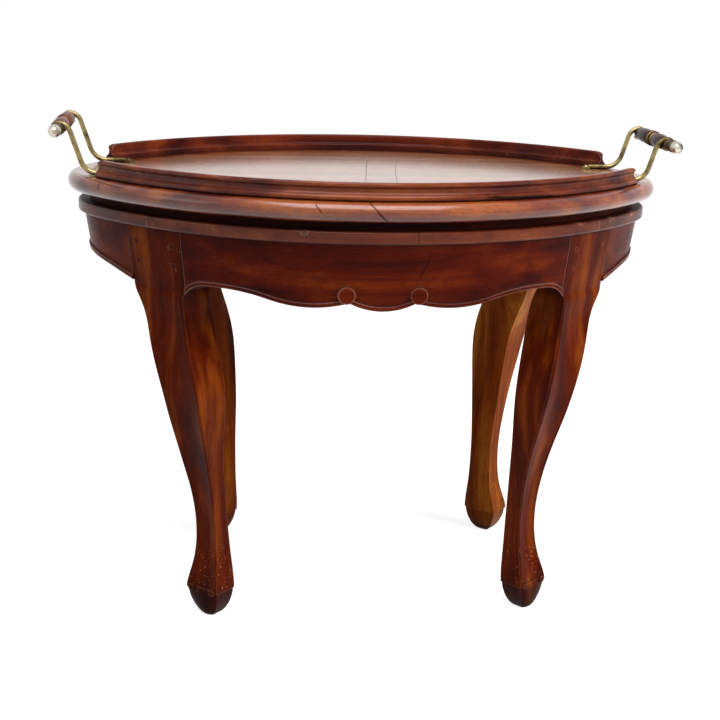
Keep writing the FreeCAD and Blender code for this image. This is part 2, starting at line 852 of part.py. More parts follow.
def make_leg(label, bearing, centre_y, hand, sway):
    """One leg: stile with two mortises and four peg holes, curved shaft, scroll toe and foot pad."""
    body = new_body(label, bearing, y=centre_y)
    half = size["stile_half_angle"]
    radius = size["long_radius"]
    stile = radial_sketch(body, label + "_stile", -half)
    points, through = stile_profile(radius)
    draw(stile, points, through)
    revolve(body, stile, half * 2)
    shaft = [stile_section(body, label + "_knee")]
    shaft += leg_sections(body, SHAFT_SHARES, stile_bottom, bearing, hand, sway, label + "_shaft")
    loft(body, shaft, label + "_shaft_loft")
    foot = leg_sections(body, PAD_SHARES, pad_height, bearing, hand, sway, label + "_pad")
    loft(body, foot, label + "_pad_loft")

    # Two small scrolls end the outer face just above the pad
    high, inset, lean, _, depth, *_ = SHAFT_SHARES[-1]
    strayed = stray(stile_bottom * high, sway)
    out = leg_middle() - size["shaft_inset"] * inset + strayed * bearing.cos()
    aside = size["shaft_lean"] * lean * (-hand) - strayed * bearing.sin()
    toes = facing_sketch(body, label + "_toes", ZERO, out)
    toe_height = pad_height - size["toe_drop"]
    for side in (-1, 1):
        draw_circle(toes, (aside + size["toe_spread"] * side, toe_height), size["toe_radius"])
    pad(body, toes, size["stile_depth"] * depth / 2 + size["toe_rise"])

    play = size["joint_clearance"]
    for side in (-1, 1):
        mortise = radial_sketch(body, f"{label}_mortise_{side + 1}", half * side)
        draw(mortise, tenon_points(radius, play))
        pocket(body, mortise, size["tenon_length"], reversed_way=side > 0)
        peg_bearing = (half - size["peg_angle"]) * side
        drill_pegs(body, f"{label}_pegs_{side + 1}", ZERO, ZERO, peg_bearing, radius)
    return body


# Pegs: round pins along the radius of the long arc, two through each tenon
def make_pegs():
    pegs = []
    for front in (-1, 1):
        for side in (-1, 1):
            for joint in (-1, 1):
                offset = size["leg_angle"] + (size["stile_half_angle"] - size["peg_angle"]) * joint
                bearing = QUARTER * front - offset * (side * front)
                for depth in (size["peg_upper_depth"], size["peg_lower_depth"]):
                    peg = doc.addObject("Part::Cylinder", "Peg")
                    peg.setExpression("Radius", size["peg_radius"].formula)
                    peg.setExpression("Height", size["peg_length"].formula)
                    reach = apron_face(size["long_radius"], depth) - size["peg_length"]
                    x = reach * bearing.cos()
                    y = reach * bearing.sin() - size["long_centre"] * front
                    z = apron_top - depth
                    peg.setExpression(
                        "Placement",
                        f"placement(vector({x.formula}; {y.formula}; {z.formula}); "
                        f"rotation(vector(0; 0; 1); {bearing.formula}) * rotation(vector(0; 1; 0); 90))",
                    )
                    pegs.append(peg)
    return gather("joint_pegs", pegs)


def gather(label, parts):
    group = doc.addObject("Part::Compound", "Group_" + label)
    group.Links = parts
    group.Label = label
    return group


def make_box(length, width, height, x, y, z, bearing):
    """A box whose outer face stands square to the bearing at x, y."""
    box = doc.addObject("Part::Box", "Block")
    box.setExpression("Length", width.formula)
    box.setExpression("Width", length.formula)
    box.setExpression("Height", height.formula)
    half = length / 2
    left = x - width * bearing.cos() + half * bearing.sin()
    low = y - width * bearing.sin() - half * bearing.cos()
    box.setExpression(
        "Placement",
        f"placement(vector({left.formula}; {low.formula}; {z.formula}); "
        f"rotation(vector(0; 0; 1); {bearing.formula}))",
    )
    return box


def make_glue_blocks():
    """Blocks in the angle between the rim and the inside of the aprons."""
    blocks = []
    side, long_side = size["block_side"], size["block_length"]
    for front in (-1, 1):
        for step in (-1, 1):
            bearing = QUARTER * front + size["block_angle"] * step
            inside = apron_face(size["long_radius"], side) - size["apron_thickness"]
            reach = (inside * inside - long_side * long_side / 4).root() - size["block_gap"]
            x = reach * bearing.cos()
            y = reach * bearing.sin() - size["long_centre"] * front
            blocks.append(make_box(long_side, side, side, x, y, apron_top - side, bearing))
    for end in (-1, 1):
        bearing = QUARTER - QUARTER * end
        inside = apron_face(size["end_radius"], side) - size["apron_thickness"]
        reach = (inside * inside - long_side * long_side / 4).root() - size["block_gap"]
        x = (size["end_centre"] + reach) * end
        blocks.append(make_box(long_side, side, side, x, ZERO, apron_top - side, bearing))
    return gather("glue_blocks", blocks)


# Tray
def make_edge(label, stretches, turn):
    body = new_body(label, turn)
    sweep_plan(body, stretches, edge_profile)
    return body


def make_gallery(label, turn):
    """A moulded rail over the long arc, with both top corners rounded."""
    body = new_body(label, turn)
    sweep_plan(body, long_stretch(size["gallery_half_angle"]), gallery_profile)
    top = tray_top + size["gallery_height"]
    corner = size["gallery_corner"]
    x, y, radius = ARCS["front"]
    for side in (-1, 1):
        bearing = -QUARTER + size["gallery_half_angle"] * side
        sketch = facing_sketch(body, f"{label}_corner_{side + 1}", bearing, radius + overrun, x, y)
        diagonal = corner * (1 - math.sqrt(0.5))
        out = overrun * side
        points = [
            (ZERO, top - corner),
            (corner * (-side), top),
            (corner * (-side), top + overrun),
            (out, top + overrun),
            (out, top - corner),
        ]
        draw(sketch, points, {0: (diagonal * (-side), top - diagonal)})
        pocket(body, sketch, size["gallery_thickness"] + overrun * 2)
    return body


def make_floor():
    body = new_body("tray_floor")
    sketch = level_sketch(body, "floor_outline", tray_top - size["floor_thickness"])
    draw_oval(sketch, -size["floor_setback"])
    pad(body, sketch, size["floor_thickness"])
    holes = level_sketch(body, "floor_screws", tray_top)
    for x in (-foot_at, foot_at):
        for y in (-arm_at, arm_at):
            draw_circle(holes, (x, y), size["screw_radius"])
    pocket(body, holes, size["screw_length"] - size["foot_pad_thickness"])
    return body


def make_plinth():
    body = new_body("tray_plinth")
    sketch = level_sketch(body, "plinth_outline", size["stand_height"])
    draw_oval(sketch, -size["plinth_setback"])
    draw_oval(sketch, -size["plinth_setback"] - size["plinth_width"])
    pad(body, sketch, size["plinth_height"])
    return body


def make_locators():
    """Blocks under the plinth that keep the tray inside the rim's opening."""
    blocks = []
    length, width, height = size["locator_length"], size["locator_width"], size["locator_height"]
    low = size["stand_height"] - height
    for arc, bearing in (("front", -QUARTER), ("right", ZERO), ("back", QUARTER), ("left", HALF_TURN)):
        x, y, radius = ARCS[arc]
        opening = radius - size["rim_width"] - size["locator_play"]
        reach = (opening * opening - length * length / 4).root()
        blocks.append(make_box(length, width, height, x + reach * bearing.cos(),
                               y + reach * bearing.sin(), low, bearing))
    return gather("tray_locating_blocks", blocks)


# Handles
def make_arm(label, side_name, turn, y):
    """One rod bent from its foot on the tray up and over, and curled round the spindle."""
    eye_at, eye_height = spindle_at[side_name], spindle_height[side_name]
    body = new_body(label, turn, y=y)
    foot = tray_top + size["foot_pad_thickness"]
    rise = size[side_name + "_arm_rise"]
    eye = size["rod_radius"] + size["spindle_radius"] + size["running_clearance"]
    bend, crook = size["bend_radius"], size["crook_radius"]
    top = eye_height + eye
    points = [
        (foot_at, foot),
        (bend_at, foot),
        on_circle(bend_at, foot + bend, bend, rise - QUARTER),
        on_circle(eye_at, top - crook, crook, QUARTER + rise),
        (eye_at, top),
        on_circle(eye_at, eye_height, eye, QUARTER - size["curl_angle"]),
    ]
    through = {
        1: on_circle(bend_at, foot + bend, bend, rise / 2 - QUARTER),
        3: on_circle(eye_at, top - crook, crook, QUARTER + rise / 2),
        4: on_circle(eye_at, eye_height, eye, QUARTER - size["curl_angle"] / 2),
    }
    spine = radial_sketch(body, label + "_spine", ZERO)
    draw(spine, points, through, closed=False)
    ring = facing_sketch(body, label + "_section", ZERO, foot_at, height=foot)
    draw_circle(ring, (ZERO, ZERO), size["rod_radius"])
    pipe = body.newObject("PartDesign::AdditivePipe", label + "_rod")
    pipe.Profile = ring
    pipe.Spine = (spine, ["Edge1", "Edge2", "Edge3", "Edge4", "Edge5"])
    plate = level_sketch(body, label + "_foot", tray_top, foot_at)
    draw_circle(plate, (ZERO, ZERO), size["foot_pad_radius"])
    pad(body, plate, size["foot_pad_thickness"])
    above = foot + size["rod_radius"] + overrun
    hole = level_sketch(body, label + "_hole", above, foot_at)
    draw_circle(hole, (ZERO, ZERO), size["screw_radius"] + size["running_clearance"])
    pocket(body, hole, size["foot_pad_thickness"] + size["rod_radius"] + overrun * 2)
    seat = level_sketch(body, label + "_seat", above, foot_at)
    draw_circle(seat, (ZERO, ZERO), size["screw_head_radius"] + size["running_clearance"])
    pocket(body, seat, size["rod_radius"] + overrun)
    return body


def dome_middle(along, radius, height):
    """A point halfway over a round cap of the given height that starts at along and that radius."""
    ball = (radius * radius + height * height) / (height * 2)
    share = math.sqrt(0.5)
    return along + height - ball * (1 - share), ball * share


def make_turned(label, side_name, side, outline, through=None):
    """A piece turned about the spindle's axis: along is Y, the other coordinate is the radius."""
    body = new_body(label, x=spindle_at[side_name] * side, z=spindle_height[side_name])
    sketch = facing_sketch(body, label + "_outline")
    draw(sketch, outline, through)
    revolve(body, sketch, FULL_TURN, "H_Axis")
    return body


# The grip's outline from its front end to its back end: place along it as a share of its
# length, radius as a share of the grip's radius
GRIP_SHARES = [
    (0.000, 0.72),
    (0.030, 0.86),
    (0.360, 0.86),
    (0.375, 0.72),
    (0.395, 0.72),
    (0.410, 0.96),
    (0.445, 0.96),
    (0.460, 0.78),
    (0.475, 0.78),
    (0.485, 1.00),
    (0.515, 1.00),
    (0.525, 0.78),
    (0.540, 0.78),
    (0.555, 0.96),
    (0.590, 0.96),
    (0.605, 0.72),
    (0.625, 0.72),
    (0.640, 0.86),
    (0.970, 0.86),
    (1.000, 0.72),
]
GRIP_MIDDLE_SHARES = {
    1: (0.20, 0.98),
    5: (0.4275, 1.04),
    9: (0.500, 1.06),
    13: (0.5725, 1.04),
    17: (0.80, 0.98),
}

# The finial's outline from the arm to its tip, as shares of its length and radius
FINIAL_SHARES = [
    (0.00, 0.70),
    (0.05, 0.86),
    (0.12, 0.86),
    (0.16, 0.66),
    (0.40, 0.72),
    (0.43, 0.94),
    (0.50, 0.94),
    (0.53, 0.74),
    (0.60, 0.80),
    (0.80, 0.90),
]
FINIAL_MIDDLE_SHARES = {1: (0.085, 0.96), 3: (0.28, 0.58), 5: (0.465, 1.02), 8: (0.70, 1.00)}


def make_handle(side_name, side):
    """All pieces of one handle. Side is 1 on the right and -1 on the left."""
    turn = QUARTER - QUARTER * side
    pieces = []
    for end_name, end in (("front", -1), ("back", 1)):
        pieces.append(make_arm(f"handle_{side_name}_arm_{end_name}", side_name, turn, arm_at * end))
    bore = size["spindle_radius"] + size["running_clearance"]
    half_grip = size["grip_length"] / 2
    grip, grip_arcs = [], {}
    for along, radius in GRIP_SHARES:
        grip.append((size["grip_length"] * along - half_grip, size["grip_radius"] * radius))
    for index, (along, radius) in GRIP_MIDDLE_SHARES.items():
        grip_arcs[index] = (size["grip_length"] * along - half_grip, size["grip_radius"] * radius)
    grip += [(half_grip, bore), (-half_grip, bore)]
    pieces.append(make_turned(f"handle_{side_name}_grip", side_name, side, grip, grip_arcs))

    for end_name, end in (("front", -1), ("back", 1)):
        near = (half_grip + size["end_play"]) * end
        far = near + size["ferrule_length"] * end
        neck = size["ferrule_radius"]
        bead = (far + near) / 2
        outline = [
            (near, bore),
            (near, size["grip_radius"] * 0.80),
            (near + (far - near) * 0.25, size["grip_radius"] * 0.84),
            (bead, neck * 0.80),
            (far - (far - near) * 0.2, neck * 0.92),
            (far, neck * 0.78),
            (far, bore),
        ]
        pieces.append(make_turned(f"handle_{side_name}_ferrule_{end_name}", side_name, side, outline))

    # The spindle runs from a low head behind the back arm into the finial
    face = arm_at + size["rod_radius"]
    head = face + size["end_play"]
    head_end = head + size["spindle_head_thickness"]
    tip = -face - size["finial_length"] / 2
    outline = [
        (tip, ZERO),
        (tip, size["spindle_radius"]),
        (head, size["spindle_radius"]),
        (head, size["spindle_head_radius"]),
        (head_end, ZERO),
    ]
    dome = {3: dome_middle(head, size["spindle_head_radius"], size["spindle_head_thickness"])}
    pieces.append(make_turned(f"handle_{side_name}_spindle", side_name, side, outline, dome))

    base = -face
    finial, finial_arcs = [], {}
    for along, radius in FINIAL_SHARES:
        finial.append((base - size["finial_length"] * along, size["finial_radius"] * radius))
    for index, (along, radius) in FINIAL_MIDDLE_SHARES.items():
        finial_arcs[index] = (base - size["finial_length"] * along, size["finial_radius"] * radius)
    start, cap_radius = finial[-1]
    end = base - size["finial_length"]
    middle, middle_radius = dome_middle(-start, cap_radius, start - end)
    finial_arcs[len(finial) - 1] = (-middle, middle_radius)
    socket = tip - size["end_play"]
    finial += [(end, ZERO), (socket, ZERO), (socket, bore), (base, bore)]
    pieces.append(make_turned(f"handle_{side_name}_finial", side_name, side, finial, finial_arcs))
    return pieces


def make_screw(x, y):
    """A round-headed screw standing in the hole of a handle foot."""
    top = tray_top + size["foot_pad_thickness"]
    body = new_body("Screw", x=x, y=y, z=top)
    sketch = radial_sketch(body, "screw_outline", ZERO)
    outline = [
        (ZERO, -size["screw_length"]),
        (size["screw_radius"], -size["screw_length"]),
        (size["screw_radius"], ZERO),
        (size["screw_head_radius"], ZERO),
        (ZERO, size["screw_head_height"]),
    ]
    up, across = dome_middle(ZERO, size["screw_head_radius"], size["screw_head_height"])
    draw(sketch, outline, {3: (across, up)})
    revolve(body, sketch, FULL_TURN)
    return body


def make_screws():
    screws = []
    for x in (-foot_at, foot_at):
        for y in (-arm_at, arm_at):
            screws.append(make_screw(x, y))
    return gather("handle_screws", screws)


# The whole table
pieces = []
for label, turn in (("rim_front", ZERO), ("rim_back", HALF_TURN)):
    pieces.append(make_rim(label, long_stretch(size["leg_angle"]), turn))
for label, turn in (("rim_right", ZERO), ("rim_left", HALF_TURN)):
    pieces.append(make_rim(label, side_stretches(size["leg_angle"]), turn))
for label, turn in (("apron_front", ZERO), ("apron_back", HALF_TURN)):
    pieces.append(make_long_apron(label, turn))
for label, turn in (("apron_right", ZERO), ("apron_left", HALF_TURN)):
    pieces.append(make_side_apron(label, turn))
for label, side, front in (
    ("leg_front_right", 1, -1),
    ("leg_front_left", -1, -1),
    ("leg_back_right", 1, 1),
    ("leg_back_left", -1, 1),
):
    leg_bearing = QUARTER * front - size["leg_angle"] * (side * front)
    corner = label.removeprefix("leg_")
    sway = (ZERO, ZERO)
    if corner != "front_right":
        sway = (size[corner + "_knee_sway"], size[corner + "_foot_sway"])
    pieces.append(make_leg(label, leg_bearing, size["long_centre"] * (-front), -side * front, sway))
pieces.append(make_pegs())
pieces.append(make_glue_blocks())

right_half = [("front", -QUARTER, -size["meeting_angle"]), ("right", -size["meeting_angle"], ZERO)]
left_half = [
    ("left", HALF_TURN, HALF_TURN + size["meeting_angle"]),
    ("front", HALF_TURN + size["meeting_angle"], HALF_TURN + QUARTER),
]
for label, stretches, turn in (
    ("tray_edge_front_right", right_half, ZERO),
    ("tray_edge_back_left", right_half, HALF_TURN),
    ("tray_edge_front_left", left_half, ZERO),
    ("tray_edge_back_right", left_half, HALF_TURN),
):
    pieces.append(make_edge(label, stretches, turn))
for label, turn in (("tray_gallery_front", ZERO), ("tray_gallery_back", HALF_TURN)):
    pieces.append(make_gallery(label, turn))
pieces.append(make_floor())
pieces.append(make_plinth())
pieces.append(make_locators())
for side_name, side in (("right", 1), ("left", -1)):
    pieces += make_handle(side_name, side)
pieces.append(make_screws())

doc.recompute()

# Nothing is written unless every object worked and every piece is a sound solid
failed = [item.Name for item in doc.Objects if "Invalid" in item.State or "Error" in item.State]
for piece in pieces:
    shape = piece.Shape
    if shape.isNull() or not shape.isValid() or not shape.Solids:
        failed.append(piece.Label)
if failed:
    raise RuntimeError("These failed: " + ", ".join(failed))
for piece in pieces:
    piece.Shape.exportStep(f"parts/{piece.Label}.step")
    box = piece.Shape.BoundBox
    print(f"{piece.Label}: {len(piece.Shape.Solids)} solids, {piece.Shape.Volume / 1000:.1f} cm3, "
          f"x {box.XMin:.1f} {box.XMax:.1f}, y {box.YMin:.1f} {box.YMax:.1f}, z {box.ZMin:.1f} {box.ZMax:.1f}")
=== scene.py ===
# %% [markdown]
# # An old oval tray table
# This lesson dresses a table that already has its full shape. The stand, the loose tray and the two
# brass handles come in as a fixed frame, so no piece of it is modelled here. What is left for
# Blender is what the eye reads as age: red-brown polished hardwood with fibres and pores, dirt in
# the recesses, rubbed edges, dull brass, and a soft daylight that shows the polish.

# %% Load the table
import math
import random

import bpy
from mathutils import Matrix, Vector

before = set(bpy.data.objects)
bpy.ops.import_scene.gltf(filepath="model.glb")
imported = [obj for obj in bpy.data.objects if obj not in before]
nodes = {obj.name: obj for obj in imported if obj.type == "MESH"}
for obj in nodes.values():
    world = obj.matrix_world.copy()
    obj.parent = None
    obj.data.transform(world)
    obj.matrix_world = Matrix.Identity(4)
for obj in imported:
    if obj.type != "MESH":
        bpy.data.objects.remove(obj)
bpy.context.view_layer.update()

# %% [markdown]
# ## Short words for shader nodes
# A material is a small machine of nodes. It could be wired by hand in the shader editor, but more
# than twenty similar woods would be slow to keep alike that way. These helpers put a node in, set
# its values and wire it up in one line.

# %% Helpers that add nodes
def plug(tree, value, socket):
    """Give a socket a fixed value, or wire another node's output to it."""
    if isinstance(value, bpy.types.NodeSocket):
        tree.links.new(value, socket)
    else:
        socket.default_value = value


def add_node(tree, kind, **values):
    """A node of the given kind. A value goes to the node's own setting or to its input socket."""
    node = tree.nodes.new(kind)
    for key, value in values.items():
        if hasattr(node, key):
            setattr(node, key, value)
        else:
            plug(tree, value, node.inputs[key.replace("_", " ")])
    return node


def new_material(name):
    """A material, with its node tree and the shader that it starts with."""
    material = bpy.data.materials.new(name)
    material.use_nodes = True
    tree = material.node_tree
    return material, tree, tree.nodes["Principled BSDF"]


print("node helpers ready")

# %% [markdown]
# ## Masks
# Every mark on the table is a mask: a value from 0, where it isn't, to 1, where it is. Masks could
# be painted on an unwrapped surface, but they would have to be painted again for every new shape.
# Reckoned from the place of each point, they follow the pieces by themselves.

# %% Helpers that reckon
def reckon(tree, operation, *values, clamp=False):
    """One step of arithmetic on one, two or three values."""
    node = add_node(tree, "ShaderNodeMath", operation=operation, use_clamp=clamp)
    for value, socket in zip(values, node.inputs):
        plug(tree, value, socket)
    return node.outputs["Value"]


def inverted(tree, mask):
    """1 where the mask is 0, and 0 where it is 1."""
    return reckon(tree, "SUBTRACT", 1.0, mask, clamp=True)


def strongest(tree, masks):
    """The highest of several masks at each place, or nothing at all when there are none."""
    best = 0.0
    for mask in masks:
        best = reckon(tree, "MAXIMUM", best, mask)
    return best


def between(tree, value, low, high):
    """0 below low, 1 above high, and a smooth step from one to the other."""
    step = add_node(
        tree, "ShaderNodeMapRange",
        interpolation_type="SMOOTHSTEP", Value=value, From_Min=low, From_Max=high,
    )
    return step.outputs["Result"]


def within(tree, value, low, high, fade):
    """1 between two values, fading in at the low one and out at the high one."""
    start = between(tree, value, low - fade, low + fade)
    stop = between(tree, value, high - fade, high + fade)
    return reckon(tree, "MULTIPLY", start, inverted(tree, stop))


print("masks ready")

# %% [markdown]
# ## Places
# A crack needs to know where on the board it is, so the shader asks each point for its place. The
# object's own coordinates are in metres and move with the piece, so the marks stay on the tray when
# it is lifted.

# %% Helpers that measure
def object_place(tree):
    """Where a point of the surface is, in the object's own coordinates."""
    return add_node(tree, "ShaderNodeTexCoord").outputs["Object"]


def coordinate(tree, place, axis):
    """One of the three coordinates of a place."""
    return add_node(tree, "ShaderNodeSeparateXYZ", Vector=place).outputs[axis]


def measured(tree, operation, place, other):
    """How far a place is from a point (DISTANCE), or how far along a direction (DOT_PRODUCT)."""
    node = add_node(tree, "ShaderNodeVectorMath", operation=operation)
    plug(tree, place, node.inputs[0])
    plug(tree, other, node.inputs[1])
    return node.outputs["Value"]


print("measures ready")

# %% [markdown]
# ## Colours
# A colour is easiest to judge as it looks on a screen, from 0 to 255, but a shader counts light, and
# the standard curve of the screen turns one into the other. Every layer of a finish is then a
# colour laid over the last one where its mask allows it.

# %% Helpers for colour
FULL_CHANNEL = 255
CURVE_START = 0.04045
START_SLOPE = 12.92
CURVE_SHIFT = 0.055
CURVE_POWER = 2.4
# The mix node has sockets for each kind of value, and these are the places of its colour sockets
FIRST_COLOUR, SECOND_COLOUR, MIXED_COLOUR = 6, 7, 2


def light_value(channel):
    """The light that one screen channel stands for."""
    share = channel / FULL_CHANNEL
    if share <= CURVE_START:
        return share / START_SLOPE
    return ((share + CURVE_SHIFT) / (1 + CURVE_SHIFT)) ** CURVE_POWER


def tone(red, green, blue):
    """A colour written as it looks on screen, from 0 to 255, turned into light values."""
    return (light_value(red), light_value(green), light_value(blue), 1.0)


def mix_colour(tree, factor, first, second, blend="MIX"):
    """Two colours mixed by a factor."""
    node = add_node(tree, "ShaderNodeMix", data_type="RGBA", blend_type=blend)
    plug(tree, factor, node.inputs["Factor"])
    plug(tree, first, node.inputs[FIRST_COLOUR])
    plug(tree, second, node.inputs[SECOND_COLOUR])
    return node.outputs[MIXED_COLOUR]


def laid_over(tree, colour, mask, strength, cover):
    """A covering colour laid over another where the mask is, at the given strength."""
    return mix_colour(tree, reckon(tree, "MULTIPLY", mask, strength), colour, cover)


def shaded(tree, colour, strength, shade):
    """A colour multiplied by a shade, at the given strength."""
    return mix_colour(tree, strength, colour, mix_colour(tree, 1.0, colour, shade, blend="MULTIPLY"))


def ramp(tree, value, *stops):
    """A colour ramp with stops written as (place, colour), from low to high."""
    node = add_node(tree, "ShaderNodeValToRGB", Fac=value)
    elements = node.color_ramp.elements
    last_place = stops[-1][0]
    while len(elements) < len(stops):
        elements.new(last_place)
    for element, (place, colour) in zip(elements, stops):
        element.position = place
        element.color = colour
    return node.outputs["Color"]


print("a middle grey on screen is", round(light_value(FULL_CHANNEL / 2), 3), "as light")

# %% [markdown]
# ## Noise that runs along a board
# A photograph of wood could be laid on the pieces, but it would show seams on the curved legs and
# repeat itself. Noise has no seams and never repeats. Stretched along one axis it becomes a fibre,
# so each board's coordinates are turned until their first axis runs along the grain, and shifted so
# that no two boards match.

# %% Noise
GRAIN_ALONG = {
    "x": (0.0, 0.0, 0.0),
    "y": (0.0, 0.0, math.radians(90)),
    "z": (0.0, math.radians(90), 0.0),
}
SHIFT_REACH = 5


def noise(tree, coordinates, scale, detail, roughness=0.5, distortion=0.0):
    """Even noise, with so many features to the metre."""
    node = add_node(
        tree, "ShaderNodeTexNoise",
        Vector=coordinates, Scale=scale, Detail=detail, Roughness=roughness, Distortion=distortion,
    )
    return node.outputs["Fac"]


def stretched_noise(tree, coordinates, along, across, **looks):
    """Noise with so many features to the metre along the board and across it."""
    scaled = add_node(tree, "ShaderNodeMapping", Vector=coordinates, Scale=(along, across, across))
    return noise(tree, scaled.outputs["Vector"], scale=1.0, **looks)


def board_coordinates(tree, place, along, seed):
    """Coordinates turned so that the first axis runs along the board, and shifted by chance."""
    dice = random.Random(seed)
    shift = tuple(dice.uniform(-SHIFT_REACH, SHIFT_REACH) for _ in range(3))
    turned = add_node(
        tree, "ShaderNodeMapping",
        Vector=place, Rotation=GRAIN_ALONG[along], Location=shift,
    )
    return turned.outputs["Vector"]


print("grain can run along", ", ".join(GRAIN_ALONG))

# %% [markdown]
# ## Bare wood
# Real hardwood has four layers that the eye reads together: broad bands of darker and lighter
# wood, a soft ribbon figure across them that catches the light, fine fibres that run along the
# board, and short dark pores between the fibres. One noise could not be all four, because the bands
# are some forty times as long as the pores, so each has its own.

# %% Grain
DEEP_RIBBON = (0.62, 0.55, 0.50, 1)
BRIGHT_RIBBON = (1.25, 1.30, 1.35, 1)
DEEP_FIBRE = (0.70, 0.62, 0.58, 1)
BRIGHT_FIBRE = (1.22, 1.26, 1.30, 1)
FIBRE_STRENGTH = 0.75
PORE_STRENGTH = 0.6
PORE_DARK = (0.012, 0.004, 0.003, 1)


def bare_wood(tree, board, dark, middle, light, figure):
    """The colour of the wood under its wear, with its fibres and the mask of its pores."""
    bands = stretched_noise(tree, board, along=1.2, across=38.0, detail=3.0, distortion=0.12)
    ribbon = stretched_noise(tree, board, along=34.0, across=7.0, detail=2.0, distortion=0.4)
    fibres = stretched_noise(tree, board, along=14.0, across=520.0, detail=4.0, roughness=0.6)
    pores = stretched_noise(tree, board, along=55.0, across=1500.0, detail=1.0)
    pore_mask = between(tree, pores, low=0.60, high=0.74)

    colour = ramp(tree, bands, (0.30, dark), (0.49, middle), (0.68, light))
    ribbon_shade = ramp(tree, ribbon, (0.35, DEEP_RIBBON), (0.65, BRIGHT_RIBBON))
    colour = shaded(tree, colour, figure, ribbon_shade)
    fibre_shade = ramp(tree, fibres, (0.32, DEEP_FIBRE), (0.68, BRIGHT_FIBRE))
    colour = shaded(tree, colour, FIBRE_STRENGTH, fibre_shade)
    colour = laid_over(tree, colour, pore_mask, PORE_STRENGTH, PORE_DARK)
    return colour, fibres, pore_mask


print("bare wood ready")

# %% [markdown]
# ## Cracks and joints
# Old wood splits along short lines, and its joints show as hairlines. They could be cut into the
# mesh, but at a few tenths of a millimetre wide they only read as dark lines. So a line is drawn
# where a flat plane cuts the surface, with a wobble where the wood is torn and not sawn.

# %% Lines
# The share of its half width over which a line is darkest, and of its length over which it fades
LINE_CORE = 0.4
LINE_FADE = 0.1
NOISE_MIDDLE = 0.5


def cut_line(tree, place, point, across, width, wobble=0.0, span=None):
    """A thin line where a plane through the point cuts the surface, between two ends of its span.

    across is the direction square to the plane. span is (direction, low, high) in metres.
    """
    plane_reach = Vector(point).dot(Vector(across))
    distance = reckon(tree, "SUBTRACT", measured(tree, "DOT_PRODUCT", place, across), plane_reach)
    if wobble:
        bends = noise(tree, place, scale=60.0, detail=4.0)
        strayed = reckon(tree, "SUBTRACT", bends, NOISE_MIDDLE)
        distance = reckon(tree, "MULTIPLY_ADD", strayed, wobble, distance)
    distance = reckon(tree, "ABSOLUTE", distance)
    line = inverted(tree, between(tree, distance, width * LINE_CORE, width))
    if span:
        direction, low, high = span
        reach = measured(tree, "DOT_PRODUCT", place, direction)
        fade = (high - low) * LINE_FADE
        line = reckon(tree, "MULTIPLY", line, within(tree, reach, low, high, fade))
    return line


print("lines ready")

# %% [markdown]
# ## Chips
# A knock takes off a few small flakes and leaves paler wood. A round spot would look like a sticker,
# so the spot only says where chips may be, and fine noise breaks it into ragged specks.

# %% Chips
# The share of its radius over which a spot has the most flakes
CHIP_CORE = 0.5


def chipped_spot(tree, place, centre, radius):
    """A mark made of small ragged specks that lie within the radius."""
    distance = measured(tree, "DISTANCE", place, centre)
    inside = inverted(tree, between(tree, distance, radius * CHIP_CORE, radius))
    specks = noise(tree, place, scale=480.0, detail=5.0, distortion=1.5)
    return between(tree, reckon(tree, "MULTIPLY", inside, specks), low=0.54, high=0.62)


print("chips ready")

# %% [markdown]
# ## Rubbed edges and dark recesses, with a painted highlight and painted shade
# Hands and cloths rub the edges of old furniture pale and shiny, and never reach the corners, where polish
# and dust build up black. Both follow the shape, so the shader can find them by itself. An edge is where a
# rounded normal leans away from the true one, and its pale colour is also a painted highlight. A recess is
# where ambient occlusion says that little light gets in, and its darkening is painted shade as well as
# dirt.

# %% Wear, dirt, painted highlight and painted shade
def rubbed_edges(tree, radius):
    """A mask of the convex edges, about as wide as the radius."""
    rounded = add_node(tree, "ShaderNodeBevel", samples=4, Radius=radius).outputs["Normal"]
    surface = add_node(tree, "ShaderNodeNewGeometry").outputs["Normal"]
    lean = reckon(tree, "SUBTRACT", 1.0, measured(tree, "DOT_PRODUCT", rounded, surface))
    return between(tree, lean, low=0.03, high=0.35)


def recesses(tree, distance, low, high):
    """A mask of the recesses, 1 where little light gets in from within the distance."""
    shade = add_node(tree, "ShaderNodeAmbientOcclusion", samples=8, Distance=distance)
    return inverted(tree, between(tree, shade.outputs["AO"], low, high))


print("wear and dirt ready")

# %% [markdown]
# ## Polish
# An old finish is not one gloss all over. It is duller in patches and dullest in the dirt, and a
# clear, harder shine stays on the clean faces and on the edges that hands burnish. One roughness
# for everything would look like plastic. So the shader's own reflection is the dull ground, and its
# coat is the polish over it.

# %% Sheen
PATCH_DULLS = 0.22
# What the patches add to the roughness on average, taken off again
PATCH_MEAN = 0.10
GRIME_DULLS = 0.25
POLISH_ROUGHNESS = 0.16


def set_dull_ground(tree, shader, patches, painted_shade_and_grime, dullness, gloss):
    """A soft reflection, duller in patches and in the dirt."""
    roughness = reckon(tree, "MULTIPLY_ADD", patches, PATCH_DULLS, dullness - PATCH_MEAN)
    roughness = reckon(tree, "MULTIPLY_ADD", painted_shade_and_grime, GRIME_DULLS, roughness)
    plug(tree, roughness, shader.inputs["Roughness"])
    shader.inputs["Specular IOR Level"].default_value = gloss


def set_polish(tree, shader, clean, edges, polish, burnish):
    """A clear shine on the clean places, and more of it on the edges."""
    shine = reckon(tree, "MULTIPLY_ADD", edges, burnish, polish)
    plug(tree, reckon(tree, "MULTIPLY", clean, shine, clamp=True), shader.inputs["Coat Weight"])
    shader.inputs["Coat Roughness"].default_value = POLISH_ROUGHNESS


print("polish ready")

# %% [markdown]
# ## A surface that isn't flat
# Under old polish the fibres stand up a little, the pores are sunk and the face is faintly uneven,
# which breaks the reflections up. Real displacement would need millions of faces for a few
# hundredths of a millimetre, so a bump map bends the light instead. The bevel node under it softens
# each sharp edge in the same way.

# %% Relief
FIBRE_HEIGHT = 0.35
PATCH_HEIGHT = 2.2
PORE_DEPTH = 0.5
EDGE_ROUNDING = 0.0012


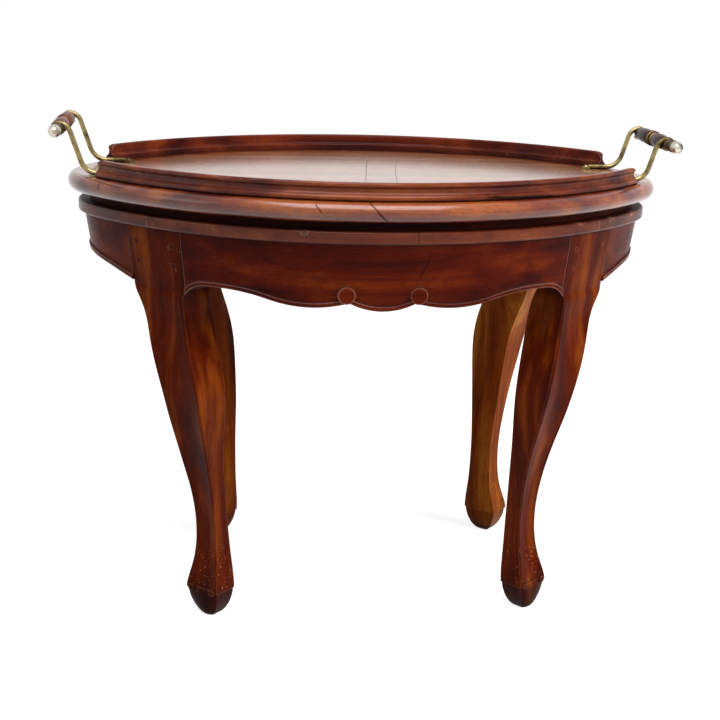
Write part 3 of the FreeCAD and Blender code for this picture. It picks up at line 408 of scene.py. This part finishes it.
def set_relief(tree, shader, fibres, patches, pore_mask):
    """Slightly rounded edges, raised fibres, sunk pores and a faintly uneven face."""
    relief = reckon(tree, "MULTIPLY", fibres, FIBRE_HEIGHT)
    relief = reckon(tree, "MULTIPLY_ADD", patches, PATCH_HEIGHT, relief)
    relief = reckon(tree, "MULTIPLY_ADD", pore_mask, -PORE_DEPTH, relief)
    rounded = add_node(tree, "ShaderNodeBevel", samples=4, Radius=EDGE_ROUNDING)
    bump = add_node(
        tree, "ShaderNodeBump",
        Strength=0.35, Distance=0.0006, Height=relief, Normal=rounded.outputs["Normal"],
    )
    plug(tree, bump.outputs["Normal"], shader.inputs["Normal"])


print("relief ready")

# %% [markdown]
# ## Feet
# The toes of the legs are knocked by shoes and brooms, so pale specks show above the pad, and the
# pad that stands on the floor is stained dark. Leg and pad are one piece of wood, so both marks are
# bands of height on it, and not separate meshes.

# %% Worn feet
FOOT_TOP = 0.031
TOE_TOP = 0.085
UNDER_FLOOR = -0.05
KNOCK_STRENGTH = 0.6
PAD_STAIN = tone(22, 6, 5)


def with_worn_foot(tree, colour, place, patches, edge_tone, pad_strength):
    """Knocked specks of bare wood over the toe, and a pad stained dark at the given strength."""
    height = coordinate(tree, place, "Z")
    specks = stretched_noise(tree, place, along=340.0, across=340.0, detail=2.0)
    patchy = between(tree, patches, low=0.42, high=0.58)
    knocked = reckon(tree, "MULTIPLY", patchy, between(tree, specks, low=0.64, high=0.71))
    knocked = reckon(tree, "MULTIPLY", knocked, within(tree, height, FOOT_TOP, TOE_TOP, fade=0.014))
    colour = laid_over(tree, colour, knocked, KNOCK_STRENGTH, edge_tone)
    pad = within(tree, height, UNDER_FLOOR, FOOT_TOP, fade=0.009)
    return laid_over(tree, colour, pad, pad_strength, PAD_STAIN)


print("feet reach up to", FOOT_TOP, "and toes to", TOE_TOP, "metres")

# %% [markdown]
# ## Rings on the grips
# The turned grips have thin brass rings let into their grooves. Four planes across the grip draw
# them with the same function that draws the cracks, and where a ring is, the wood turns to metal.

# %% Brass rings
RING_BRASS = tone(176, 146, 84)
RING_HALF_WIDTH = 0.0022
RING_PLACES = (-0.0113, -0.0032, 0.0032, 0.0113)
ALONG_GRIP = (0, 1, 0)


def with_brass_rings(tree, shader, colour, place, centres):
    """Brass rings round the grip, each centred so far along it."""
    rings = [cut_line(tree, place, (0, centre, 0), ALONG_GRIP, RING_HALF_WIDTH) for centre in centres]
    metal = strongest(tree, rings)
    plug(tree, metal, shader.inputs["Metallic"])
    return mix_colour(tree, metal, colour, RING_BRASS)


print("rings on each grip:", len(RING_PLACES))

# %% [markdown]
# ## Polished hardwood
# Now the layers go together in the order in which they came to the real wood: grain, wear on the edges
# with a painted highlight on them, dirt and painted shade in the recesses, cracks, chips, and last the
# sheen. Where two lengths of the tray's edge are butted end to end the joint is flush, so the rubbed look
# stops there and the polish runs on over it.

# %% Hardwood
# Painted shade and dirt: how far ambient occlusion looks, and how strongly and to what near black the
# recesses are darkened
PAINTED_SHADE_AND_GRIME_REACH = 0.014
PAINTED_SHADE_AND_GRIME_STRENGTH = 0.75
PAINTED_SHADE_AND_GRIME_BLACK = (0.008, 0.003, 0.003, 1)
GAP_STRENGTH = 0.85
GAP_DARK = tone(18, 5, 3)
CHIP_STRENGTH = 0.55
CHIP_PALE = tone(186, 150, 132)


def hardwood(name, along, seed, tones, figure=0.25, dullness=0.3, gloss=0.12, polish=0.0,
             wear_and_highlight=0.6, burnish=0.6, rubbing=0.0022,
             cracks=(), chips=(), rings=(), flush=(), foot=0.0):
    """Polished hardwood with its grain along the given axis, and with the marks of its own life."""
    dark, middle, light, edge_tone = tones
    material, tree, shader = new_material(name)
    place = object_place(tree)
    board = board_coordinates(tree, place, along, seed)
    patches = stretched_noise(tree, board, along=9.0, across=12.0, detail=3.0)
    colour, fibres, pore_mask = bare_wood(tree, board, dark, middle, light, figure)

    gaps = strongest(tree, [cut_line(tree, place, **crack) for crack in cracks])
    tight = strongest(tree, [cut_line(tree, place, **joint) for joint in flush])
    chipped = strongest(tree, [chipped_spot(tree, place, *chip) for chip in chips])
    painted_shade_and_grime = reckon(tree, "MULTIPLY", recesses(tree, PAINTED_SHADE_AND_GRIME_REACH, low=0.35, high=0.95), PAINTED_SHADE_AND_GRIME_STRENGTH)
    clean = inverted(tree, strongest(tree, [painted_shade_and_grime, gaps]))
    exposed = reckon(tree, "SUBTRACT", clean, tight, clamp=True)
    edges = reckon(tree, "MULTIPLY", rubbed_edges(tree, rubbing), exposed)
    rubbed_and_highlit = reckon(tree, "MULTIPLY", edges, between(tree, patches, low=0.30, high=0.65))

    # Painted highlight: the rubbed edges take the pale edge tone, which stands for bare wood and for the
    # highlight along them
    colour = laid_over(tree, colour, rubbed_and_highlit, wear_and_highlight, edge_tone)
    # Painted shade: the recesses go towards black where little light gets in, standing for shade as well
    # as for dirt
    colour = mix_colour(tree, painted_shade_and_grime, colour, PAINTED_SHADE_AND_GRIME_BLACK)
    colour = laid_over(tree, colour, gaps, GAP_STRENGTH, GAP_DARK)
    colour = laid_over(tree, colour, chipped, CHIP_STRENGTH, CHIP_PALE)
    if foot:
        colour = with_worn_foot(tree, colour, place, patches, edge_tone, pad_strength=foot)
    if rings:
        colour = with_brass_rings(tree, shader, colour, place, rings)
    plug(tree, colour, shader.inputs["Base Color"])
    set_dull_ground(tree, shader, patches, painted_shade_and_grime, dullness, gloss)
    set_polish(tree, shader, clean, edges, polish, burnish)
    set_relief(tree, shader, fibres, patches, pore_mask)
    return material


print("hardwood ready")

# %% [markdown]
# ## Stains
# The pieces are one family of wood, but no two kinds were stained alike. The aprons are deep red, the
# front legs a little more orange, the back legs browner and paler, and the panel of the tray is lightest.
# The back legs' paler tones are partly painted light from the right and behind, and the back right leg,
# which is palest, takes most of it. Each stain is four tones: dark, middle and light wood, and the bare
# edge, which on rubbed edges is also a painted highlight. Written one above the other, it is easy to see
# which is redder or deeper.

# %% Stains
def stain(*screen_colours):
    """The four tones of one stain, from colours as they look on screen."""
    return tuple(tone(*colour) for colour in screen_colours)


APRON_TONES = stain((46, 6, 2), (78, 19, 3), (108, 42, 8), (172, 112, 92))
LEG_TONES = stain((48, 8, 2), (82, 24, 3), (128, 60, 12), (176, 112, 66))
# Painted light: the back legs' tones are paler to stand partly for light from the right and behind, and
# the back right leg's are palest
PAINTED_LIGHT_LEG_TONES = stain((88, 26, 5), (134, 64, 16), (178, 112, 36), (200, 138, 76))
BACK_LEG_TONES = stain((66, 16, 3), (112, 46, 8), (150, 82, 20), (178, 116, 66))
RIM_TONES = stain((50, 9, 3), (82, 28, 7), (112, 50, 16), (170, 120, 100))
TRAY_TONES = stain((54, 9, 2), (100, 36, 9), (138, 70, 24), (200, 140, 112))
GALLERY_TONES = stain((46, 6, 1), (84, 27, 5), (122, 56, 16), (210, 156, 130))
BACK_TRAY_TONES = stain((46, 8, 4), (78, 24, 8), (112, 46, 18), (170, 120, 100))
PANEL_TONES = stain((114, 68, 38), (140, 92, 56), (160, 114, 76), (190, 140, 110))
HIDDEN_TONES = stain((110, 74, 44), (140, 100, 62), (168, 128, 86), (180, 140, 100))
GRIP_TONES = stain((28, 8, 6), (52, 15, 11), (84, 36, 26), (130, 90, 72))
print("tones in a stain:", len(APRON_TONES))

# %% [markdown]
# ## Finishes
# A finish is a stain and what time did to it. Figure is how strong the ribbon shows. Dullness and gloss
# set the soft reflection, polish the clear shine over it, and burnish how much more of that the edges
# have. Rubbing is how far an edge is rubbed, in metres, and wear how bare it is and how strong the painted
# highlight on it. Foot is how dark the pad of a leg is. A finish that differs in one point is written as
# that difference.

# %% Finishes
# The aprons' wide, strong edge wear is mostly a painted highlight along the scalloped lip
APRON = dict(tones=APRON_TONES, figure=0.2, gloss=0.04, rubbing=0.0034, burnish=1.0, wear_and_highlight=0.9)
PEG = dict(APRON, burnish=0.0, wear_and_highlight=0.2)
RIM = dict(tones=RIM_TONES, figure=0.2, gloss=0.1, polish=0.28)
LEG = dict(tones=LEG_TONES, figure=0.25, gloss=0.03, burnish=0.25, wear_and_highlight=0.7, foot=0.72)
# Painted light: the back legs' paler tones stand partly for light from the right and behind
BACK_LEG = dict(LEG, tones=BACK_LEG_TONES, gloss=0.02, foot=0.3)
PAINTED_LIGHT_LEG = dict(BACK_LEG, tones=PAINTED_LIGHT_LEG_TONES, burnish=0.1)
# The lengths of the tray's edge meet in the middle of its front and of its back
END_TO_END = dict(point=(0.0, 0.0, 0.5), across=(1.0, 0.0, 0.0), width=0.005)
TRAY = dict(tones=TRAY_TONES, figure=0.2, gloss=0.1, polish=1.0, flush=[END_TO_END])
GALLERY = dict(tones=GALLERY_TONES, figure=0.2, gloss=0.08, polish=0.30, burnish=0.4)
BACK_GALLERY = dict(GALLERY, tones=BACK_TRAY_TONES, gloss=0.05, polish=0.12)
PANEL = dict(tones=PANEL_TONES, figure=0.3, gloss=0.5, polish=0.9, dullness=0.26)
HIDDEN = dict(tones=HIDDEN_TONES, figure=0.0, gloss=0.1, dullness=0.7, burnish=0.0)
GRIP = dict(tones=GRIP_TONES, figure=0.0, gloss=0.08, polish=0.1, rings=RING_PLACES)
print("polish of the tray's edge:", TRAY["polish"], "and of its front gallery:", GALLERY["polish"])

# %% [markdown]
# ## The joints beside the legs
# Each leg's top is a stile that stands in the oval frame, with an apron tenoned into either side of
# it. The two joints are upright hairlines on the real table. Each lies in an upright plane through
# the centre of the long arc of the oval, so one function gives them for any of the four legs, and
# the same lines serve for the leg and for the aprons beside it.

# %% Joint hairlines
LONG_CENTRE = 0.1525
ARC_MIDDLE = 90.0
LEG_ANGLE = 41.0
STILE_HALF_ANGLE = 5.9
STILE_BOTTOM = 0.397
STILE_TOP = 0.475
HAIRLINE = 0.0009
UP = (0.0, 0.0, 1.0)


def joint_lines(side, end):
    """The two joints of the leg on the left (-1) or right (1), at the front (-1) or back (1)."""
    lines = []
    for step in (-1, 1):
        from_middle = (LEG_ANGLE + STILE_HALF_ANGLE * step) * side
        bearing = math.radians((ARC_MIDDLE - from_middle) * end)
        lines.append(dict(
            point=(0.0, -LONG_CENTRE * end, 0.0),
            across=(-math.sin(bearing), math.cos(bearing), 0.0),
            width=HAIRLINE,
            span=(UP, STILE_BOTTOM, STILE_TOP),
        ))
    return lines


FRONT_LEFT = joint_lines(-1, -1)
FRONT_RIGHT = joint_lines(1, -1)
BACK_LEFT = joint_lines(-1, 1)
BACK_RIGHT = joint_lines(1, 1)
print("joint hairlines:", len(FRONT_LEFT + FRONT_RIGHT + BACK_LEFT + BACK_RIGHT))

# %% [markdown]
# ## Where this table is cracked
# The cracks are what makes this table itself: a slanting scarf line and two short checks in the tray's
# edge, a break along the front gallery, hairlines in the front of the rim and the apron, and two fine
# lines across the tray's floor. Chance would put them in the wrong places, so each was placed one by one,
# as a point, the direction across the line, and how far the line runs.

# %% Cracks
ALONG_TABLE = (1.0, 0.0, 0.0)
ACROSS_TABLE = (0.0, 1.0, 0.0)
CRACKS = {
    "leg_front_left": FRONT_LEFT,
    "leg_front_right": FRONT_RIGHT,
    "leg_back_left": BACK_LEFT,
    "leg_back_right": BACK_RIGHT,
    "apron_left": FRONT_LEFT + BACK_LEFT,
    "apron_right": FRONT_RIGHT + BACK_RIGHT,
    "apron_back": BACK_LEFT + BACK_RIGHT,
    "apron_front": FRONT_LEFT + FRONT_RIGHT + [
        dict(point=(0.045, -0.222, 0.442), across=(0.93, 0.0, -0.37), width=0.0007, wobble=0.005,
             span=(UP, 0.431, 0.456)),
    ],
    "rim_front": [
        dict(point=(-0.248, -0.144, 0.480), across=(0.80, 0.0, 0.60), width=0.0009, wobble=0.006,
             span=(UP, 0.472, 0.484)),
        dict(point=(-0.086, -0.226, 0.480), across=(0.92, 0.0, 0.38), width=0.0007, wobble=0.010,
             span=(UP, 0.474, 0.484)),
        dict(point=(0.035, -0.230, 0.478), across=(1.0, 0.0, 0.02), width=0.0006, span=(UP, 0.468, 0.484)),
    ],
    "tray_edge": [
        dict(point=(-0.0155, -0.243, 0.511), across=(0.70, 0.0, 0.71), width=0.0011, wobble=0.006,
             span=(UP, 0.494, 0.515)),
        dict(point=(-0.072, -0.239, 0.507), across=(0.85, 0.0, 0.53), width=0.0009, wobble=0.004,
             span=(UP, 0.503, 0.511)),
        dict(point=(-0.309, -0.099, 0.507), across=(0.55, -0.80, 0.25), width=0.0012, wobble=0.004,
             span=(UP, 0.504, 0.510)),
    ],
    "tray_gallery_front": [
        dict(point=(0.150, -0.210, 0.5160), across=(0.03, 0.0, 1.0), width=0.0026, wobble=0.004,
             span=(ALONG_TABLE, 0.111, 0.190)),
        dict(point=(0.112, -0.219, 0.5150), across=(0.96, 0.0, 0.27), width=0.0008, wobble=0.002,
             span=(UP, 0.512, 0.521)),
    ],
    "tray_floor": [
        dict(point=(0.0, 0.0, 0.51), across=(1.0, -0.1, 0.0), width=0.0007, wobble=0.002,
             span=(ACROSS_TABLE, -0.15, 0.17)),
        dict(point=(0.036, 0.0, 0.51), across=(1.0, -0.1, 0.0), width=0.0006, wobble=0.002,
             span=(ACROSS_TABLE, -0.10, 0.17)),
    ],
}
print("boards with lines:", len(CRACKS))

# %% [markdown]
# ## Where this table is chipped
# Knocks gather where things touch: on the front and the right of the rim, round the pegs of the
# front left leg, and on the back gallery. Each is written as the centre of its spot and the radius
# in which its flakes may lie.

# %% Chipped places
CHIPS = {
    "leg_front_left": [
        ((-0.2314, -0.1471, 0.4470), 0.0045),
        ((-0.2203, -0.1550, 0.4450), 0.0040),
        ((-0.2296, -0.1452, 0.4287), 0.0025),
        ((-0.2230, -0.1491, 0.4228), 0.0025),
    ],
    "rim_front": [
        ((-0.1800, -0.1914, 0.4750), 0.0040),
        ((-0.0860, -0.2254, 0.4806), 0.0090),
        ((0.2265, -0.1631, 0.4830), 0.0090),
    ],
    "rim_right": [((0.2750, -0.1230, 0.4835), 0.0140), ((0.3085, -0.0836, 0.4835), 0.0120)],
    "tray_gallery_back": [((0.2033, 0.1642, 0.5180), 0.0030), ((0.2143, 0.1570, 0.5165), 0.0025)],
}
print("chipped places:", sum(len(places) for places in CHIPS.values()))

# %% [markdown]
# ## Which board each piece was cut from
# Legs have their grain upright, aprons and rim along their length, and the grips were turned from
# sticks that run from arm to arm. One table says so for every board, with its finish. The four
# lengths of the tray's edge came from one plank, so they share their wood.

# %% Boards
BOARDS = {
    "apron_front": ("x", APRON),
    "apron_back": ("x", APRON),
    "apron_left": ("y", APRON),
    "apron_right": ("y", APRON),
    "rim_front": ("x", RIM),
    "rim_back": ("x", RIM),
    "rim_left": ("y", RIM),
    "rim_right": ("y", RIM),
    "leg_front_left": ("z", LEG),
    "leg_front_right": ("z", LEG),
    "leg_back_left": ("z", BACK_LEG),
    "leg_back_right": ("z", PAINTED_LIGHT_LEG),
    "joint_pegs": ("z", PEG),
    "glue_blocks": ("x", HIDDEN),
    "tray_floor": ("x", PANEL),
    "tray_edge": ("x", TRAY),
    "tray_gallery_front": ("x", GALLERY),
    "tray_gallery_back": ("x", BACK_GALLERY),
    "tray_plinth": ("x", APRON),
    "tray_locating_blocks": ("x", HIDDEN),
    "handle_left_grip": ("y", GRIP),
    "handle_right_grip": ("y", GRIP),
}
print("boards:", len(BOARDS))

# %% [markdown]
# ## Dress the wooden pieces
# Each board gets a wood of its own, grown from its own seed, so no two boards show the same grain.
# One shared material would be lighter, but the eye soon finds a pattern that comes twice.

# %% Dress the wood
FIRST_SEED = 40


def dress(node_name, material):
    """Give a node one material all over."""
    mesh = nodes[node_name].data
    mesh.materials.clear()
    mesh.materials.append(material)


def nodes_of(board_name):
    """The nodes that were cut from one board."""
    return [name for name in nodes if name == board_name or name.startswith(board_name + "_")]


for number, (board_name, (along, finish)) in enumerate(BOARDS.items()):
    marks = dict(cracks=CRACKS.get(board_name, ()), chips=CHIPS.get(board_name, ()))
    wood = hardwood("wood_" + board_name, along, FIRST_SEED + number, **finish, **marks)
    for node_name in nodes_of(board_name):
        dress(node_name, wood)
print("wooden nodes dressed:", sum(len(nodes_of(board_name)) for board_name in BOARDS))

# %% [markdown]
# ## Old brass
# Brass that is handled but never cleaned turns olive and brown, and stays yellow where hands rub it.
# Yellow paint would look like plastic, because a metal's colour is in its reflection. So the
# material is fully metallic, its base colour is the pale yellow of brass, and clouds of tarnish
# make it darker and duller.

# %% Brass
BRASS_ROUGHNESS = 0.30
TARNISH_DULLS = 0.22
TARNISH_REACH = 0.004
CLOUD_LOW = 0.62
CLOUD_HIGH = 0.75
SPECK_STRENGTH = 0.5
FADE_AHEAD = 0.003
FADE_BEHIND = 0.002


def tarnished(tree, place, amount, tip):
    """A mask of the tarnish: in clouds, in the recesses, and everywhere behind the tip."""
    cloud = noise(tree, place, scale=60.0, detail=5.0)
    mask = between(tree, cloud, low=CLOUD_LOW - amount, high=CLOUD_HIGH - amount / 2)
    mask = reckon(tree, "MAXIMUM", mask, recesses(tree, TARNISH_REACH, low=0.3, high=0.9))
    if tip is None:
        return mask
    behind = between(tree, coordinate(tree, place, "Y"), low=tip - FADE_AHEAD, high=tip + FADE_BEHIND)
    return reckon(tree, "MAXIMUM", mask, behind)


def old_brass(name, clean, tarnish, amount, tip=None):
    """Tarnished brass. With a tip, only the end of the piece in front of it keeps the clean colour, which
    for the finials is rubbed brass and a painted highlight.
    """
    material, tree, shader = new_material(name)
    place = object_place(tree)
    mask = tarnished(tree, place, amount, tip)
    specks = noise(tree, place, scale=420.0, detail=2.0)
    colour = mix_colour(tree, mask, clean, tarnish)
    speck_mask = between(tree, specks, low=0.60, high=0.70)
    colour = laid_over(tree, colour, speck_mask, SPECK_STRENGTH, tarnish)
    plug(tree, colour, shader.inputs["Base Color"])
    shader.inputs["Metallic"].default_value = 1.0
    roughness = reckon(tree, "MULTIPLY_ADD", mask, TARNISH_DULLS, BRASS_ROUGHNESS)
    plug(tree, roughness, shader.inputs["Roughness"])
    bump = add_node(tree, "ShaderNodeBump", Strength=0.25, Distance=0.0004, Height=specks)
    plug(tree, bump.outputs["Normal"], shader.inputs["Normal"])
    return material


print("brass ready")

# %% [markdown]
# ## Dress the handles
# The arms are bent rods, evenly dull. The ferrules on either side of the grip are darkest, because no hand
# reaches round them. The small finials point to the front of the table, and only their tips are pale,
# rubbed and painted with a highlight, so their brass knows where the tip begins.

# %% Dress the metal
FINIAL_TIP = -0.094
ARM_BRASS = old_brass("old_brass", tone(150, 134, 90), tone(78, 64, 36), amount=0.20)
# Painted highlight: the finials' clean tip colour is near white, standing for a small white highlight as
# well as for rubbed brass
TIP_BRASS_AND_HIGHLIGHT = old_brass("rubbed_brass_and_highlight", tone(200, 194, 178), tone(78, 64, 50), amount=0.10, tip=FINIAL_TIP)
FERRULE_BRASS = old_brass("dark_brass", tone(132, 108, 66), tone(48, 34, 24), amount=0.22)
METAL_PARTS = {
    "arm_front": ARM_BRASS,
    "arm_back": ARM_BRASS,
    "spindle": ARM_BRASS,
    "ferrule_front": FERRULE_BRASS,
    "ferrule_back": FERRULE_BRASS,
    "finial": TIP_BRASS_AND_HIGHLIGHT,
}
for side in ("left", "right"):
    for part, metal in METAL_PARTS.items():
        dress(f"handle_{side}_{part}", metal)
dress("handle_screws", ARM_BRASS)
print("metal parts on each handle:", len(METAL_PARTS))

# %% [markdown]
# ## A white floor
# The table stands on plain white, but with a faint shadow that shows where it stands. A white floor
# under stronger lamps would also bleach the wood. So the floor is a middle grey to the lamps and to
# the wood, and adds a white glow only for the rays that see it straight.

# %% Floor
FLOOR_REACH = 90.0
FLOOR_GREY = (0.50, 0.50, 0.50, 1)
FLOOR_GLOW = 0.79
WHITE = (1, 1, 1, 1)
CORNERS = ((-1, -1), (1, -1), (1, 1), (-1, 1))


def seen_straight(tree):
    """1 for the rays that see the background itself: the camera's, mirrored ones and through glass."""
    path = add_node(tree, "ShaderNodeLightPath")
    rays = ("Is Camera Ray", "Is Glossy Ray", "Is Transmission Ray")
    return strongest(tree, [path.outputs[ray] for ray in rays])


def white_floor():
    """Grey to the lamps, and white to the eye wherever no shadow falls."""
    material, tree, shader = new_material("white_floor")
    shader.inputs["Base Color"].default_value = FLOOR_GREY
    shader.inputs["Roughness"].default_value = 0.9
    shader.inputs["Specular IOR Level"].default_value = 0.1
    glow = add_node(tree, "ShaderNodeEmission", Color=WHITE, Strength=FLOOR_GLOW)
    glowing = add_node(tree, "ShaderNodeAddShader")
    plug(tree, shader.outputs["BSDF"], glowing.inputs[0])
    plug(tree, glow.outputs["Emission"], glowing.inputs[1])
    chosen = add_node(tree, "ShaderNodeMixShader", Fac=seen_straight(tree))
    plug(tree, shader.outputs["BSDF"], chosen.inputs[1])
    plug(tree, glowing.outputs["Shader"], chosen.inputs[2])
    plug(tree, chosen.outputs["Shader"], tree.nodes["Material Output"].inputs["Surface"])
    return material


floor_mesh = bpy.data.meshes.new("floor")
floor_mesh.from_pydata([(x * FLOOR_REACH, y * FLOOR_REACH, 0) for x, y in CORNERS], [], [(0, 1, 2, 3)])
floor_mesh.materials.append(white_floor())
floor = bpy.data.objects.new("floor", floor_mesh)
bpy.context.scene.collection.objects.link(floor)
print("floor laid,", FLOOR_REACH, "metres each way")

# %% [markdown]
# ## The sky
# The world is plain white to the camera and in reflections, and a softer light for everything else.
# One white sky for both would fill the shadows. This way the tray keeps the pale sheen of the sky
# in its polish, and the shadowed sides of the legs stay deep.

# %% Sky
SKY_LIGHT = (0.34, 0.34, 0.34, 1)

world = bpy.data.worlds.new("daylight")
bpy.context.scene.world = world
world.use_nodes = True
background = world.node_tree.nodes["Background"]
sky_colour = mix_colour(world.node_tree, seen_straight(world.node_tree), SKY_LIGHT, WHITE)
plug(world.node_tree, sky_colour, background.inputs["Color"])
background.inputs["Strength"].default_value = 1.0
print("sky:", world.name)

# %% [markdown]
# ## Three soft lamps
# Daylight comes mostly from the right, so the right-hand faces of the legs glow orange and the
# others are deep. A wide lamp above the front gives the sheen along the tray's edge, and a weak one
# on the left keeps that side readable. All are large squares, because small lamps would draw hard
# shadows that daylight through a window doesn't.

# %% Lamps
TABLE_MIDDLE = (0.0, 0.0, 0.35)


def make_lamp(name, place, width, watts, colour):
    """A square lamp that faces the middle of the table."""
    light = bpy.data.lights.new(name, "AREA")
    light.shape = "SQUARE"
    light.size = width
    light.energy = watts
    light.color = colour
    lamp = bpy.data.objects.new(name, light)
    bpy.context.scene.collection.objects.link(lamp)
    lamp.location = place
    lamp.rotation_euler = (Vector(TABLE_MIDDLE) - Vector(place)).to_track_quat("-Z", "Y").to_euler()
    return lamp


LAMPS = {
    "window_right": dict(place=(2.1, -1.3, 1.4), width=1.2, watts=62, colour=(1.0, 0.96, 0.88)),
    "window_left": dict(place=(-2.2, -0.9, 1.3), width=1.0, watts=4, colour=(0.95, 0.96, 1.0)),
    "sky_light": dict(place=(0.0, -0.9, 2.3), width=1.7, watts=54, colour=(0.94, 0.91, 1.0)),
}
lamps = {name: make_lamp(name, **looks) for name, looks in LAMPS.items()}
# The right window's own glare would blank out the polished tray when it is seen from behind
lamps["window_right"].visible_glossy = False
print("lamps:", ", ".join(lamps))

# %% [markdown]
# ## The camera
# The eye is just above the tray and a little to the left of the middle, and leans slightly to one
# side. Its place and lens come from the outline of the oval, the feet and the handles. Three Euler
# angles would be hard to read, so the turn is built from the directions right, up and ahead.

# %% Camera
SENSOR_WIDTH = 36.0
VIEW_REACH = 100.0


def make_camera(place, yaw, pitch, roll, lens, shift_x, shift_y):
    """A camera that looks along +Y, turned by yaw, tipped down by pitch and leaned by roll."""
    data = bpy.data.cameras.new("camera")
    data.lens = lens
    data.sensor_width = SENSOR_WIDTH
    data.shift_x = shift_x
    data.shift_y = shift_y
    data.clip_end = VIEW_REACH
    camera = bpy.data.objects.new("camera", data)
    bpy.context.scene.collection.objects.link(camera)
    right = Vector((math.cos(yaw), math.sin(yaw), 0.0))
    ahead = Vector((-math.sin(yaw) * math.cos(pitch), math.cos(yaw) * math.cos(pitch), -math.sin(pitch)))
    up = right.cross(ahead)
    leaned_right = right * math.cos(roll) + up * math.sin(roll)
    leaned_up = up * math.cos(roll) - right * math.sin(roll)
    turn = Matrix((leaned_right, leaned_up, -ahead)).transposed()
    camera.matrix_world = Matrix.Translation(place) @ turn.to_4x4()
    return camera


bpy.context.scene.camera = make_camera(
    place=(-0.1640, -1.7094, 0.7412), yaw=-0.1242, pitch=0.2902, roll=0.0298,
    lens=70.9, shift_x=-0.0557, shift_y=0.0552,
)
bpy.context.scene.view_settings.view_transform = "Standard"
print("camera lens:", round(bpy.context.scene.camera.data.lens, 1), "mm")

# %% [markdown]
# ## Update the scene
# The view layer is brought up to date at the end.

# %% Update the view layer
bpy.context.view_layer.update()
